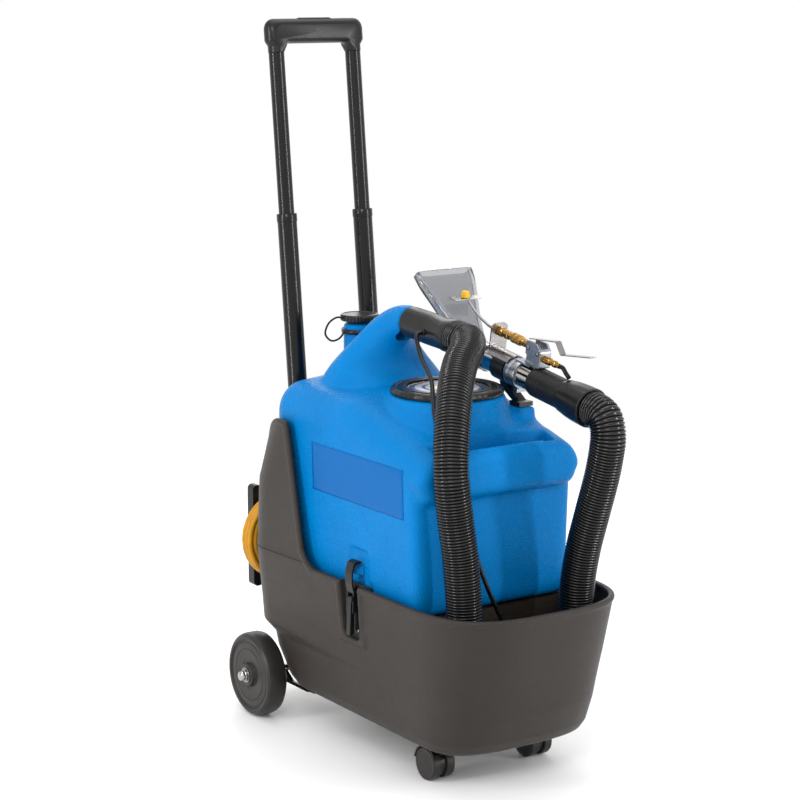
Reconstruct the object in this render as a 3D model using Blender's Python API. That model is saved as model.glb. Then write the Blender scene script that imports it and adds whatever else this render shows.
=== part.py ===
"""Portable spot-cleaning carpet extractor, modelled as the assembly it is.

A dark moulded tub on two rear wheels and two front casters holds the vacuum motor and the
pump. A blue tank is latched on top of it. A telescoping handle, a corrugated
vacuum hose with its solution line, and an upholstery wand complete the machine.

Units are metres, +Z is up, and the caster end faces -Y. The origin is on the floor, under
the middle of the machine. "left" is the -X side and "right" the +X side.
"""
import math

import bmesh
import bpy
from mathutils import Vector

# ---------------------------------------------------------------- driving dimensions
DEPTH = 0.690                    # front of the tub rim to the back of the cord hooks
FRONT = -DEPTH / 2
BACK = DEPTH / 2
GAP = 0.0003                     # left between pieces that touch

RIM_Z = 0.285                    # the tub's rim along the sides and front
WING_Z = 0.508                   # top of the tub's two rear wings
FLOOR_Z = 0.060                  # underside of the tub
WALL = 0.006                     # thickness of the tub's wall
BOW_START = -0.185               # where the tub's sides start to bow round to the front
BOW_POWER = 3.2                  # how square that bow is

TANK_LOW = 0.2590                # underside of the tank
TANK_SHELL = 0.005               # thickness of the tank's wall
TANK_HALF = 0.150                # half the tank's width
SHOULDER = 0.045                 # radius of the tank's long upper edges

WHEEL_R = 0.069
WHEEL_X = 0.180                  # outer face of a rear wheel
WHEEL_WIDE = 0.036
AXLE_Y = 0.245
AXLE_R = 0.006

CASTER_R = 0.0254
CASTER_X = 0.093
CASTER_Y = -0.170
CASTER_TRAIL = 0.016             # swivel axis behind the caster's wheel axis

POST_X = 0.0733                  # half the distance between the handle's posts
POST_FOOT = Vector((0.0, 0.256, 0.545))
POST_LEAN = math.radians(6.08)
OUTER_R = 0.031750 / 2           # 1-1/4 inch outer stage
INNER_R = 0.0254 / 2             # 1 inch inner stage

LID_AT = Vector((0.0, -0.065, 0.572))
LID_R = 0.0875
NECK_Y = 0.181                   # filler neck
DUCT_Y = 0.033                   # mouth of the tank's suction duct
DUCT_Z = 0.669

HOSE_D = 0.054
LINE_D = 0.007
CORD_D = 0.009

WAND_AT = Vector((0.115, -0.1110, 0.5928))
WAND_TILT = math.radians(8.7)
WAND_R = 0.019                   # 1-1/2 inch wand tube

COIL_AT = Vector((0.0, 0.0, 0.278))
COIL_HALF = 0.072                # half the straight run of the cord's loops
COIL_DEEP = 3                    # turns side by side
COIL_HIGH = 4                    # turns on each other
COIL_TOP_R = 0.0705              # outermost turn's bend radius

LATCH_X = 0.1595
LATCH_Y = -0.038
LATCH_Z = 0.262
HOOK_DROP = 0.017
SWITCH_X = (0.035, 0.068)
SWITCH_Z = 0.378
RELIEF_X = -0.050                # where the power cord leaves the tub
RELIEF_Z = 0.125
ROUND = 16                       # sides of a turned piece
WHEEL_SIDES = 24
SIDES = (("left", -1), ("right", 1))

# height, half-width where the bow starts, half-width between the wheels, front, rear and
# rear corner radius of the tub's outside
TUB_LEVELS = (
    (0.060, 0.128, 0.1260, -0.268, 0.190, 0.050),
    (0.066, 0.138, 0.1350, -0.280, 0.203, 0.060),
    (0.080, 0.144, 0.1400, -0.290, 0.222, 0.062),
    (0.120, 0.149, 0.1412, -0.305, 0.262, 0.070),
    (0.1445, 0.151, 0.1440, -0.311, 0.268, 0.072),
    (0.1625, 0.153, 0.1560, -0.315, 0.286, 0.075),
    (0.195, 0.157, 0.1560, -0.323, 0.292, 0.077),
    (RIM_Z, 0.165, 0.1650, FRONT, 0.293, 0.078),
    (0.400, 0.166, 0.1660, FRONT, 0.287, 0.085),
    (WING_Z, 0.166, 0.1660, FRONT, 0.255, 0.105),
)


# ---------------------------------------------------------------- materials
def material(name, color, roughness, metallic=0.0, alpha=1.0):
    mat = bpy.data.materials.new(name)
    mat.use_nodes = True
    shader = mat.node_tree.nodes["Principled BSDF"]
    shader.inputs["Base Color"].default_value = (*color, 1.0)
    shader.inputs["Roughness"].default_value = roughness
    shader.inputs["Metallic"].default_value = metallic
    shader.inputs["Alpha"].default_value = alpha
    return mat


def make_materials():
    return {
        "tub": material("tub_charcoal", (0.058, 0.054, 0.050), 0.62),
        "tank": material("tank_blue", (0.004, 0.155, 0.600), 0.42),
        "black": material("black_plastic", (0.010, 0.010, 0.011), 0.38),
        "rubber": material("rubber", (0.018, 0.018, 0.018), 0.75),
        "paint": material("gloss_black_tube", (0.006, 0.006, 0.007), 0.20),
        "steel": material("steel", (0.55, 0.55, 0.56), 0.28, 1.0),
        "chrome": material("chrome", (0.78, 0.78, 0.80), 0.08, 1.0),
        "brass": material("brass", (0.72, 0.46, 0.16), 0.28, 1.0),
        "clear": material("clear_plastic", (0.62, 0.66, 0.68), 0.12, 0.0, 0.35),
        "yellow": material("yellow_plastic", (0.85, 0.55, 0.03), 0.40),
        "cord": material("yellow_cord", (0.82, 0.42, 0.02), 0.45),
        "red": material("switch_red", (0.45, 0.02, 0.02), 0.35),
    }


# ---------------------------------------------------------------- building blocks
def add_object(name, data, mat, parent=None, location=(0, 0, 0)):
    obj = bpy.data.objects.new(name, data)
    bpy.context.scene.collection.objects.link(obj)
    obj.location = location
    obj.parent = parent
    if mat is not None:
        data.materials.append(mat)
    return obj


def finish_mesh(name, bm, mat, parent, location):
    bmesh.ops.recalc_face_normals(bm, faces=bm.faces)
    mesh = bpy.data.meshes.new(name)
    bm.to_mesh(mesh)
    bm.free()
    mesh.shade_smooth()
    mesh.set_sharp_from_angle(angle=math.radians(35))
    return add_object(name, mesh, mat, parent, location)


def loft(name, rings, mat, parent=None, location=(0, 0, 0), closed=False):
    """A skin over rings of equally many points; closed joins the last ring to the first."""
    bm = bmesh.new()
    loops = [[bm.verts.new(point) for point in ring] for ring in rings]
    pairs = list(zip(loops, loops[1:]))
    if closed:
        pairs.append((loops[-1], loops[0]))
    for low, high in pairs:
        count = len(low)
        for i in range(count):
            j = (i + 1) % count
            bm.faces.new((low[i], low[j], high[j], high[i]))
    if not closed:
        bm.faces.new(loops[0])
        bm.faces.new(loops[-1])
    return finish_mesh(name, bm, mat, parent, location)


def along(axis, a, b, height):
    """The point (a, b) of a flat outline, at a height along the named axis."""
    if axis == "X":
        return (height, a, b)
    if axis == "Y":
        return (a, height, b)
    return (a, b, height)


def prism(name, outline, axis, low, high, mat, parent=None, location=(0, 0, 0)):
    rings = [[along(axis, a, b, height) for a, b in outline] for height in (low, high)]
    return loft(name, rings, mat, parent, location)


def block(name, low, high, mat, parent=None, location=(0, 0, 0)):
    outline = ((low[0], low[1]), (high[0], low[1]), (high[0], high[1]), (low[0], high[1]))
    return prism(name, outline, "Z", low[2], high[2], mat, parent, location)


def circle(radius, steps, center=(0.0, 0.0), start=0.0):
    turn = 2 * math.pi / steps
    return [(center[0] + radius * math.cos(start + turn * i),
             center[1] + radius * math.sin(start + turn * i)) for i in range(steps)]


def rounded(corners, steps=4):
    """A closed outline through corners (a, b, radius), each corner turned into an arc."""
    points = []
    for i, (a, b, radius) in enumerate(corners):
        here = Vector((a, b))
        back = (Vector(corners[i - 1][:2]) - here).normalized()
        on = (Vector(corners[(i + 1) % len(corners)][:2]) - here).normalized()
        if radius <= 0:
            points.append((a, b))
            continue
        half = back.angle(on) / 2
        reach = radius / math.tan(half)
        start, end = here + back * reach, here + on * reach
        center = here + (back + on).normalized() * (radius / math.sin(half))
        for k in range(steps + 1):
            arm = (start - center).slerp(end - center, k / steps).normalized()
            points.append(tuple(center + arm * radius))
    return points


def turned(name, profile, axis, steps, mat, parent=None, location=(0, 0, 0)):
    """A turned piece. The profile's (radius, height) points start and end on the axis for a
    solid piece, and run round a closed loop for a hollow one."""
    hollow = profile[0][0] > 0 or profile[-1][0] > 0
    bm = bmesh.new()
    rings = []
    for radius, height in profile:
        if radius == 0:
            rings.append([bm.verts.new(along(axis, 0, 0, height))])
        else:
            rings.append([bm.verts.new(along(axis, a, b, height))
                          for a, b in circle(radius, steps)])
    pairs = list(zip(rings, rings[1:]))
    if hollow:
        pairs.append((rings[-1], rings[0]))
    for low, high in pairs:
        for i in range(steps):
            j = (i + 1) % steps
            corner = [low[i % len(low)], low[j % len(low)], high[j % len(high)], high[i % len(high)]]
            face = list(dict.fromkeys(corner))
            if len(face) > 2:
                bm.faces.new(face)
    return finish_mesh(name, bm, mat, parent, location)


def boolean(target, tool, operation):
    """Joins a tool to the target, or cuts it away; the tool itself isn't part of the model."""
    tool.hide_render = True
    tool.display_type = "WIRE"
    step = target.modifiers.new(operation.lower(), "BOOLEAN")
    step.object = tool
    step.operation = operation
    step.solver = "EXACT"


def join(target, *tools):
    for tool in tools:
        boolean(target, tool, "UNION")


def cut(target, *tools):
    for tool in tools:
        boolean(target, tool, "DIFFERENCE")


def smooth_route(points, spacing):
    """Points about one spacing apart on a smooth curve through the given points."""
    route = [Vector(point) for point in points]
    padded = [route[0] * 2 - route[1]] + route + [route[-1] * 2 - route[-2]]
    fine = []
    for i in range(1, len(padded) - 2):
        a, b, c, d = padded[i - 1:i + 3]
        for k in range(16):
            t = k / 16
            fine.append(0.5 * (2 * b + (c - a) * t + (2 * a - 5 * b + 4 * c - d) * t * t
                               + (3 * b - a - 3 * c + d) * t ** 3))
    fine.append(route[-1])
    total = sum((q - p).length for p, q in zip(fine, fine[1:]))
    count = max(2, round(total / spacing))
    result, walked, goal = [fine[0]], 0.0, total / count
    for p, q in zip(fine, fine[1:]):
        step = (q - p).length
        while walked + step >= goal * len(result) and len(result) < count:
            result.append(p.lerp(q, (goal * len(result) - walked) / step))
        walked += step
    result.append(fine[-1])
    return result


def tube(name, points, radius, mat, resolution=2, parent=None):
    """A round tube with filled ends along a list of points."""
    curve = bpy.data.curves.new(name, "CURVE")
    curve.dimensions = "3D"
    curve.bevel_depth = radius
    curve.bevel_resolution = resolution
    curve.use_fill_caps = True
    spline = curve.splines.new("POLY")
    spline.points.add(len(points) - 1)
    for slot, point in zip(spline.points, points):
        slot.co = (*point, 1.0)
    return add_object(name, curve, mat, parent)


def swept(name, points, radius, sides, mat, parent=None):
    """A solid rod of round section along a list of points."""
    rings = []
    side = Vector((0, 0, 1))
    for i, point in enumerate(points):
        on = (points[min(i + 1, len(points) - 1)] - points[max(i - 1, 0)]).normalized()
        side = (side - on * side.dot(on)).normalized()
        across = on.cross(side)
        rings.append([point + side * a + across * b for a, b in circle(radius, sides)])
    return loft(name, rings, mat, parent)


def frame_at(name, location, turn=(0, 0, 0), parent=None):
    """An empty that carries one assembly or one joint."""
    empty = add_object(name, None, None, parent, location)
    empty.rotation_euler = turn
    empty.empty_display_size = 0.02
    return empty


# ---------------------------------------------------------------- the tub
def tub_level(z):
    for low, high in zip(TUB_LEVELS, TUB_LEVELS[1:]):
        if z <= high[0]:
            t = max(0.0, (z - low[0]) / (high[0] - low[0]))
            return [a + (b - a) * t for a, b in zip(low[1:], high[1:])]
    return list(TUB_LEVELS[-1][1:])


def tub_outline(z, inset=0.0, arc=4, bow=12):
    """The tub's outline at height z: round rear corners and a bowed front."""
    half, tuck, front, rear, corner = tub_level(z)
    half, tuck, front = half - inset, tuck - inset, front + inset
    rear, corner = rear - inset, corner - inset
    points = []
    for i in range(arc + 1):
        a = math.pi / 2 * (1 - i / arc)
        points.append((tuck - corner + corner * math.cos(a), rear - corner + corner * math.sin(a)))
    for i in range(bow + 1):
        a = math.pi * i / bow
        x = half * math.copysign(abs(math.cos(a)) ** (2 / BOW_POWER), math.cos(a))
        y = BOW_START + (front - BOW_START) * max(0.0, math.sin(a)) ** (2 / BOW_POWER)
        points.append((x, y))
    for i in range(arc + 1):
        a = math.pi - math.pi / 2 * i / arc
        points.append((corner - tuck + corner * math.cos(a), rear - corner + corner * math.sin(a)))
    return points


def make_tub(mats):
    outer_z = [row[0] for row in TUB_LEVELS]
    inner_z = [FLOOR_Z + WALL + 0.001] + outer_z[2:-1] + [WING_Z + 0.03]
    tub = loft("base_tub", [[(x, y, z) for x, y in tub_outline(z)] for z in outer_z], mats["tub"])
    cavity = loft("tub_cavity", [[(x, y, z) for x, y in tub_outline(z, WALL)] for z in inner_z], None)
    cut(tub, cavity)
    for side, s in SIDES:
        low_x, high_x = sorted((s * 0.1425, s * 0.1600))
        boss = block(f"latch_boss_{side}", (low_x, LATCH_Y - 0.036, 0.190),
                     (high_x, LATCH_Y + 0.036, RIM_Z + 0.01), None)
        join(tub, boss)
    rim = rounded([(-0.5, RIM_Z, 0), (0.097, RIM_Z, 0.045), (0.1445, WING_Z + 0.0006, -1),
                   (0.1445, 0.7, 0), (-0.5, 0.7, 0)], 6)
    cut(tub, prism("rim_cutter", rim, "X", -0.3, 0.3, None))
    slope = [(0.157 + 0.098 * math.sin(math.radians(a)), 0.400 + 0.1095 * math.cos(math.radians(a)))
             for a in range(0, 91, 10)]
    cut(tub, prism("rear_slope", [(0.157, 0.7)] + slope + [(0.5, 0.400), (0.5, 0.7)], "X", -0.3, 0.3,
                   None))
    for side, s in SIDES:
        low_x, high_x = sorted((s * 0.1505, s * 0.22))
        recess = rounded([(LATCH_Y - 0.022, 0.199, 0.008), (LATCH_Y + 0.022, 0.199, 0.008),
                          (LATCH_Y + 0.030, 0.4, 0), (LATCH_Y - 0.030, 0.4, 0)])
        cut(tub, prism(f"latch_recess_{side}", recess, "X", low_x, high_x, None))
        stem = circle(0.0058, 12, (s * CASTER_X, CASTER_Y + CASTER_TRAIL))
        cut(tub, prism(f"stem_hole_{side}", stem, "Z", 0.04, 0.09, None))
    for x in SWITCH_X:
        cut(tub, block(f"switch_hole_{x:.3f}", (x - 0.0118, 0.25, SWITCH_Z - 0.0088),
                       (x + 0.0118, 0.35, SWITCH_Z + 0.0088), None))
    relief = circle(0.0078, 12, (RELIEF_X, RELIEF_Z))
    cut(tub, prism("relief_hole", relief, "Y", 0.2, 0.35, None))
    return tub


# ---------------------------------------------------------------- inside the tub
def make_insides(mats):
    deck_z = TANK_LOW - 0.005
    wall = [(x, z) for z in (0.0675, 0.080, 0.120, 0.195, deck_z + 0.004)
            for x in (tub_level(z)[0] - WALL - 0.0012,)]
    outline = wall + [(-x, z) for x, z in reversed(wall)]
    deck = prism("motor_deck", outline, "Y", -0.1880, -0.1840, mats["black"])
    plate = [(x, max(y, -0.1860)) for x, y in tub_outline(deck_z, WALL + 0.0012)]
    plate = [p for p, q in zip(plate, plate[1:] + plate[:1]) if (Vector(p) - Vector(q)).length > 1e-5]
    notched = [p for p in plate if p[1] > -0.1859 or abs(p[0]) > 0.12]
    top = prism("deck_plate", notched, "Z", deck_z, deck_z + 0.004, None)
    for side, s in SIDES:
        low_x, high_x = sorted((s * 0.1415, s * 0.20))
        cut(top, block(f"deck_relief_{side}", (low_x, LATCH_Y - 0.038, 0.2),
                       (high_x, LATCH_Y + 0.038, 0.3), None))
    join(deck, top)
    motor = turned("vacuum_motor", [(0, 0.0690), (0.070, 0.0690), (0.073, 0.074), (0.073, 0.118),
                                    (0.068, 0.124), (0.050, 0.126), (0.050, 0.196), (0.044, 0.208),
                                    (0.018, 0.210), (0.018, 0.222), (0, 0.222)],
                   "Z", ROUND, mats["steel"], None, (0.020, 0.075, 0))
    pump = block("solution_pump", (-0.085, -0.160, 0.0690), (-0.035, -0.115, 0.118), mats["black"])
    can = prism("pump_can", circle(0.021, ROUND, (-0.060, 0.093)), "Y", -0.120, -0.050, None)
    join(pump, can)
    return [deck, motor, pump]


# ---------------------------------------------------------------- the tank
def tank_section(y, half, low, top, inset=0.0, arc=3):
    """Cross-section of the tank at y: round lower corners, generous shoulders, crowned top."""
    half, low, top = half - inset, low + inset, top - inset
    foot = half - 0.006
    round_low = min(0.018, (top - low) * 0.3)
    round_top = min(SHOULDER, (top - low) * 0.6)
    crown = 0.005
    points = []
    for i in range(arc + 1):
        a = math.pi / 2 * i / arc
        points.append((foot - round_low + round_low * math.sin(a), low + round_low * (1 - math.cos(a))))
    for i in range(arc + 2):
        a = math.pi / 2 * i / (arc + 1)
        points.append((half - round_top * (1 - math.cos(a)), top - round_top * (1 - math.sin(a))))
    points.append((half * 0.35, top + crown))
    return [(x, y, z) for x, z in points] + [(-x, y, z) for x, z in reversed(points)]


# y, inset of the rounded ends, height of the shoulders
TANK_STATIONS = (
    (-0.193, 0.020, 0.512), (-0.190, 0.008, 0.508), (-0.182, 0.001, 0.510), (-0.172, 0.0, 0.514),
    (-0.115, 0.0, 0.533), (-0.040, 0.0, 0.555), (0.010, 0.0, 0.564), (0.180, 0.0, 0.566),
    (0.196, 0.004, 0.566), (0.204, 0.012, 0.560), (0.207, 0.024, 0.556),
)
# centre y and z, tilt, half-width, half-depth of the suction duct's sections
DUCT_STATIONS = (
    (DUCT_Y, DUCT_Z, -4.3, 0.0255, 0.0255), (0.060, 0.664, 18, 0.028, 0.028),
    (0.088, 0.644, 42, 0.040, 0.035), (0.107, 0.610, 68, 0.072, 0.046),
    (0.113, 0.578, 84, 0.098, 0.074), (0.115, 0.545, 90, 0.118, 0.086),
)


def make_tank(mats):
    def body(name, inset, mat):
        low = TANK_LOW
        return loft(name, [tank_section(y if abs(y) < 0.17 else math.copysign(abs(y) - inset, y),
                                        TANK_HALF - end, low + end, top - end * 0.9, inset)
                           for y, end, top in TANK_STATIONS], mat)

    tank = body("tank", 0.0, mats["tank"])
    nose = loft("tank_nose", [tank_section(y, TANK_HALF + 0.0008 - end, 0.437 + end, top - end, 0.0, 2)
                              for y, end, top in ((-0.2135, 0.013, 0.503), (-0.208, 0.004, 0.505),
                                                  (-0.200, 0.0, 0.507), (-0.150, 0.0, 0.5225))], None)
    rings = []
    for y, z, tilt, wide, deep in DUCT_STATIONS:
        a = math.radians(tilt)
        rings.append([(wide * math.cos(t), y + deep * math.sin(t) * math.sin(a),
                       z + deep * math.sin(t) * math.cos(a))
                      for t in (2 * math.pi * i / ROUND for i in range(ROUND))])
    duct = loft("tank_duct", rings, None)
    neck = turned("tank_neck", [(0, 0.540), (0.034, 0.540), (0.029, 0.575), (0.0265, 0.585),
                                (0.0265, 0.6475), (0.0235, 0.6500), (0, 0.6500)],
                  "Z", ROUND, None, None, (0, NECK_Y, 0))
    seat = turned("lid_seat", [(0, 0.53), (0.104, 0.53), (0.091, 0.5640), (0.0885, 0.5715), (0, 0.5715)],
                  "Z", 22, None, None, (LID_AT.x, LID_AT.y, 0))
    pad = block("wand_pad", (0.097, -0.124, 0.51), (0.129, -0.088, 0.5455), None)
    join(tank, nose, duct, neck, seat, pad)

    cavity = body("tank_cavity", TANK_SHELL, None)
    bores = [turned("lid_bore", [(0, 0.50), (0.0640, 0.50), (0.0640, 0.60), (0, 0.60)],
                    "Z", 20, None, None, (LID_AT.x + 0.0003, LID_AT.y, 0)),
             turned("neck_bore", [(0, 0.533), (0.0190, 0.533), (0.0190, 0.70), (0, 0.70)],
                    "Z", 14, None, None, (0.0003, NECK_Y, 0)),
             turned("duct_drop", [(0, 0.523), (0.0230, 0.523), (0.0230, 0.642), (0, 0.642)],
                    "Z", 14, None, None, (0.0002, 0.0950, 0)),
             turned("duct_bore", [(0, -0.075), (0.0190, -0.075), (0.0190, 0.010), (0, 0.010)],
                    "Y", 14, None, None, (0.0004, 0.100, 0.6530))]
    join(bores[1], bores[2], bores[3])
    cut(tank, cavity, bores[0], bores[1])
    scoop = rounded([(-0.193, 0.494, 0.005), (-0.171, 0.494, 0.008), (-0.168, 0.56, 0), (-0.193, 0.56, 0)])
    cut(tank, prism("grip_scoop", scoop, "X", -0.105, 0.105, None))
    for side, s in SIDES:
        low_x, high_x = sorted((s * 0.1412, s * 0.20))
        niche = rounded([(LATCH_Y - 0.0375, 0.2, 0), (LATCH_Y + 0.0375, 0.2, 0),
                         (LATCH_Y + 0.0375, 0.2885, 0), (LATCH_Y + 0.028, 0.2910, 0),
                         (LATCH_Y + 0.026, 0.340, 0.006), (LATCH_Y - 0.026, 0.340, 0.006),
                         (LATCH_Y - 0.028, 0.2910, 0), (LATCH_Y - 0.0375, 0.2885, 0)])
        back = block(f"niche_back_{side}", (min(s * 0.1362, s * 0.147), LATCH_Y - 0.046, 0.262),
                     (max(s * 0.1362, s * 0.147), LATCH_Y + 0.046, 0.350), None)
        join(tank, back)
        cut(tank, prism(f"latch_niche_{side}", niche, "X", low_x, high_x, None))
        rib = [(s * 0.1400, 0.296), (s * 0.1520, 0.300), (s * 0.1520, 0.3055), (s * 0.1400, 0.3165)]
        join(tank, prism(f"latch_rib_{side}", rib, "Y", LATCH_Y - 0.007, LATCH_Y + 0.007, None))
    return tank


def make_tank_fittings(mats):
    x, y, z = LID_AT
    ring = turned("lid_ring", [(0.0655, 0.0003), (LID_R, 0.0003), (LID_R + 0.001, 0.004),
                               (LID_R - 0.002, 0.0085), (0.082, 0.0105), (0.0655, 0.0105)],
                  "Z", WHEEL_SIDES, mats["black"], None, (x, y, z - 0.0003))
    window = turned("lid_window", [(0, 0.0006), (0.0648, 0.0006), (0.0648, 0.0070), (0.050, 0.0086),
                                   (0, 0.0090)], "Z", WHEEL_SIDES, mats["clear"], None, (x, y, z))
    cage = turned("float_cage", [(0.0180, 0.430), (0.0200, 0.430), (0.0200, 0.519), (0.0070, 0.524),
                                 (0.0070, 0.521), (0.0180, 0.516)],
                  "Z", ROUND, mats["black"], None, (0, 0.095, 0))
    ball = turned("float_ball", [(0.0145 * math.cos(a), 0.0145 * math.sin(a))
                                 if abs(a) < 1.57 else (0, math.copysign(0.0145, a))
                                 for a in (math.pi * (i / 6 - 0.5) for i in range(7))],
                  "Z", 12, mats["yellow"], None, (0, 0.095, 0.452))
    cuff_turn = frame_at("duct_cuff_frame", (0, DUCT_Y, DUCT_Z), (math.radians(4.3), 0, 0))
    cuff = turned("duct_cuff", [(0.0185, -0.0010), (0.0248, -0.0010), (0.0248, -0.105), (0.0262, -0.107),
                                (0.0262, -0.1190), (0.0185, -0.1190)],
                  "Y", ROUND, mats["black"], cuff_turn)
    cap = turned("filler_cap", [(0, 0.0), (0.0230, 0.0), (0.0300, 0.0028), (0.0315, 0.0045),
                                (0.0315, 0.0100), (0.0290, 0.0125), (0, 0.0135)],
                 "Z", ROUND, mats["black"], None, (0, NECK_Y, 0.6512))
    band = turned("cap_tether", [(0.0269, 0.6330), (0.0298, 0.6330), (0.0298, 0.6400), (0.0269, 0.6400)],
                  "Z", ROUND, mats["black"], None, (0, NECK_Y, 0))
    loop = smooth_route([(-0.0290, 0, 0.6365), (-0.040, 0, 0.6260), (-0.055, 0, 0.6240),
                         (-0.066, 0, 0.636), (-0.060, 0, 0.652), (-0.046, 0, 0.6605),
                         (-0.0325, 0, 0.6600)], 0.006)
    strap = swept("tether_strap", loop, 0.0016, 6, None, band)
    join(band, strap)
    return [ring, window, cage, ball, cuff, cap, band]


# ---------------------------------------------------------------- wheels and casters
def make_wheels(mats):
    axle = turned("rear_axle", [(0, -0.1930), (AXLE_R, -0.1930), (AXLE_R, 0.1930), (0, 0.1930)],
                  "X", ROUND, mats["steel"], None, (0, AXLE_Y, WHEEL_R))
    flange = block("axle_bracket", (-0.124, 0.130, FLOOR_Z - 0.0033), (0.124, 0.187, FLOOR_Z - GAP),
                   mats["steel"])
    for side, s in SIDES:
        ear = [(0.150, 0.0597), (0.187, 0.0597), (0.200, 0.0600), (0.222, 0.0740), (0.262, 0.0820),
               (0.262, 0.0540), (0.150, 0.0540)]
        low_x, high_x = sorted((s * 0.1190, s * 0.1235))
        join(flange, prism(f"axle_ear_{side}", ear, "X", low_x, high_x, None))
    cut(flange, prism("axle_bore", circle(AXLE_R + GAP, ROUND, (AXLE_Y, WHEEL_R)), "X", -0.2, 0.2, None))
    made = [axle, flange]
    inner = WHEEL_X - WHEEL_WIDE
    for side, s in SIDES:
        profile = [(AXLE_R + 0.0005, inner), (0.020, inner), (0.024, inner + 0.004),
                   (0.055, inner + 0.004), (0.058, inner), (WHEEL_R - 0.005, inner),
                   (WHEEL_R, inner + 0.007), (WHEEL_R, WHEEL_X - 0.007), (WHEEL_R - 0.005, WHEEL_X),
                   (0.058, WHEEL_X), (0.054, WHEEL_X - 0.003), (0.023, WHEEL_X - 0.003),
                   (0.020, WHEEL_X + 0.004), (AXLE_R + 0.0005, WHEEL_X + 0.004)]
        made.append(turned(f"rear_wheel_{side}", [(r, s * x) for r, x in profile], "X", WHEEL_SIDES,
                           mats["rubber"], None, (0, AXLE_Y, WHEEL_R)))
        nut = [(0, 0.1970), (0.006, 0.1965), (0.0095, 0.1935), (0.0095, 0.1860), (AXLE_R + GAP, 0.1860),
               (AXLE_R + GAP, 0.1934), (0, 0.1934)]
        made.append(turned(f"cap_nut_{side}", [(r, s * x) for r, x in nut], "X", ROUND, mats["steel"],
                           None, (0, AXLE_Y, WHEEL_R)))
    return made


def make_casters(mats):
    made = []
    for side, s in SIDES:
        swivel = frame_at(f"caster_swivel_{side}", (s * CASTER_X, CASTER_Y + CASTER_TRAIL, CASTER_R))
        hub = frame_at(f"caster_axis_{side}", (0, -CASTER_TRAIL, 0), (0, 0, 0), swivel)
        profile = [(0, -0.0200), (0.0225, -0.0200), (CASTER_R, -0.0180), (CASTER_R, -0.0060),
                   (0.0235, -0.0050), (0.0035, -0.0050), (0.0035, 0.0050), (0.0235, 0.0050),
                   (CASTER_R, 0.0060), (CASTER_R, 0.0180), (0.0225, 0.0200), (0, 0.0200)]
        made.append(turned(f"caster_wheels_{side}", profile, "X", ROUND, mats["rubber"], hub))
        web = prism(f"caster_fork_{side}", [(a - CASTER_TRAIL, b) for a, b in circle(0.0215, ROUND)],
                    "X", -0.0042, 0.0042, mats["black"], swivel)
        outer, inner = 0.0292, 0.0266
        arc = [math.radians(8 + 134 * i / 6) for i in range(7)]
        hood = ([(outer * math.cos(a) - CASTER_TRAIL, outer * math.sin(a)) for a in arc]
                + [(inner * math.cos(a) - CASTER_TRAIL, inner * math.sin(a)) for a in reversed(arc)])
        join(web, prism(f"caster_hood_{side}", hood, "X", -0.0195, 0.0195, None, swivel),
             block(f"caster_rib_{side}", (-0.0042, -0.0120, 0.016), (0.0042, 0.0070, 0.0285), None, swivel),
             turned(f"caster_stem_{side}", [(0, 0.010), (0.0085, 0.010), (0.0085, 0.0336),
                                            (0.0055, 0.0336), (0.0055, 0.0430), (0, 0.0430)],
                    "Z", 12, None, swivel))
        bore = turned(f"caster_bore_{side}", [(0, -0.01), (0.0039, -0.01), (0.0039, 0.01), (0, 0.01)],
                      "X", ROUND, None, hub)
        cut(web, bore)
        for t in (-1, 1):
            low_x, high_x = sorted((t * 0.0044, t * 0.03))
            well = turned(f"caster_room_{side}_{t}", [(0, low_x), (CASTER_R + 0.0008, low_x),
                                                      (CASTER_R + 0.0008, high_x), (0, high_x)],
                          "X", ROUND, None, hub)
            cut(web, well)
        made.append(web)
    return made


# ---------------------------------------------------------------- the telescoping handle
def grip_point(a, b, y):
    """A point of the grip's outline, drawn in towards its middle as y nears its round faces."""
    inset = 0.0158 - math.sqrt(0.0158 ** 2 - y ** 2)
    side = math.copysign(inset, a)
    leg_inside = b < 0.5425 and abs(a) < POST_X
    a += side if leg_inside else -side if abs(a) > POST_X else 0.0
    if b > 0.57:
        b -= inset
    elif b > 0.5425 and abs(a) < POST_X:
        b += inset * 0.7
    return (a, y, b)


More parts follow.
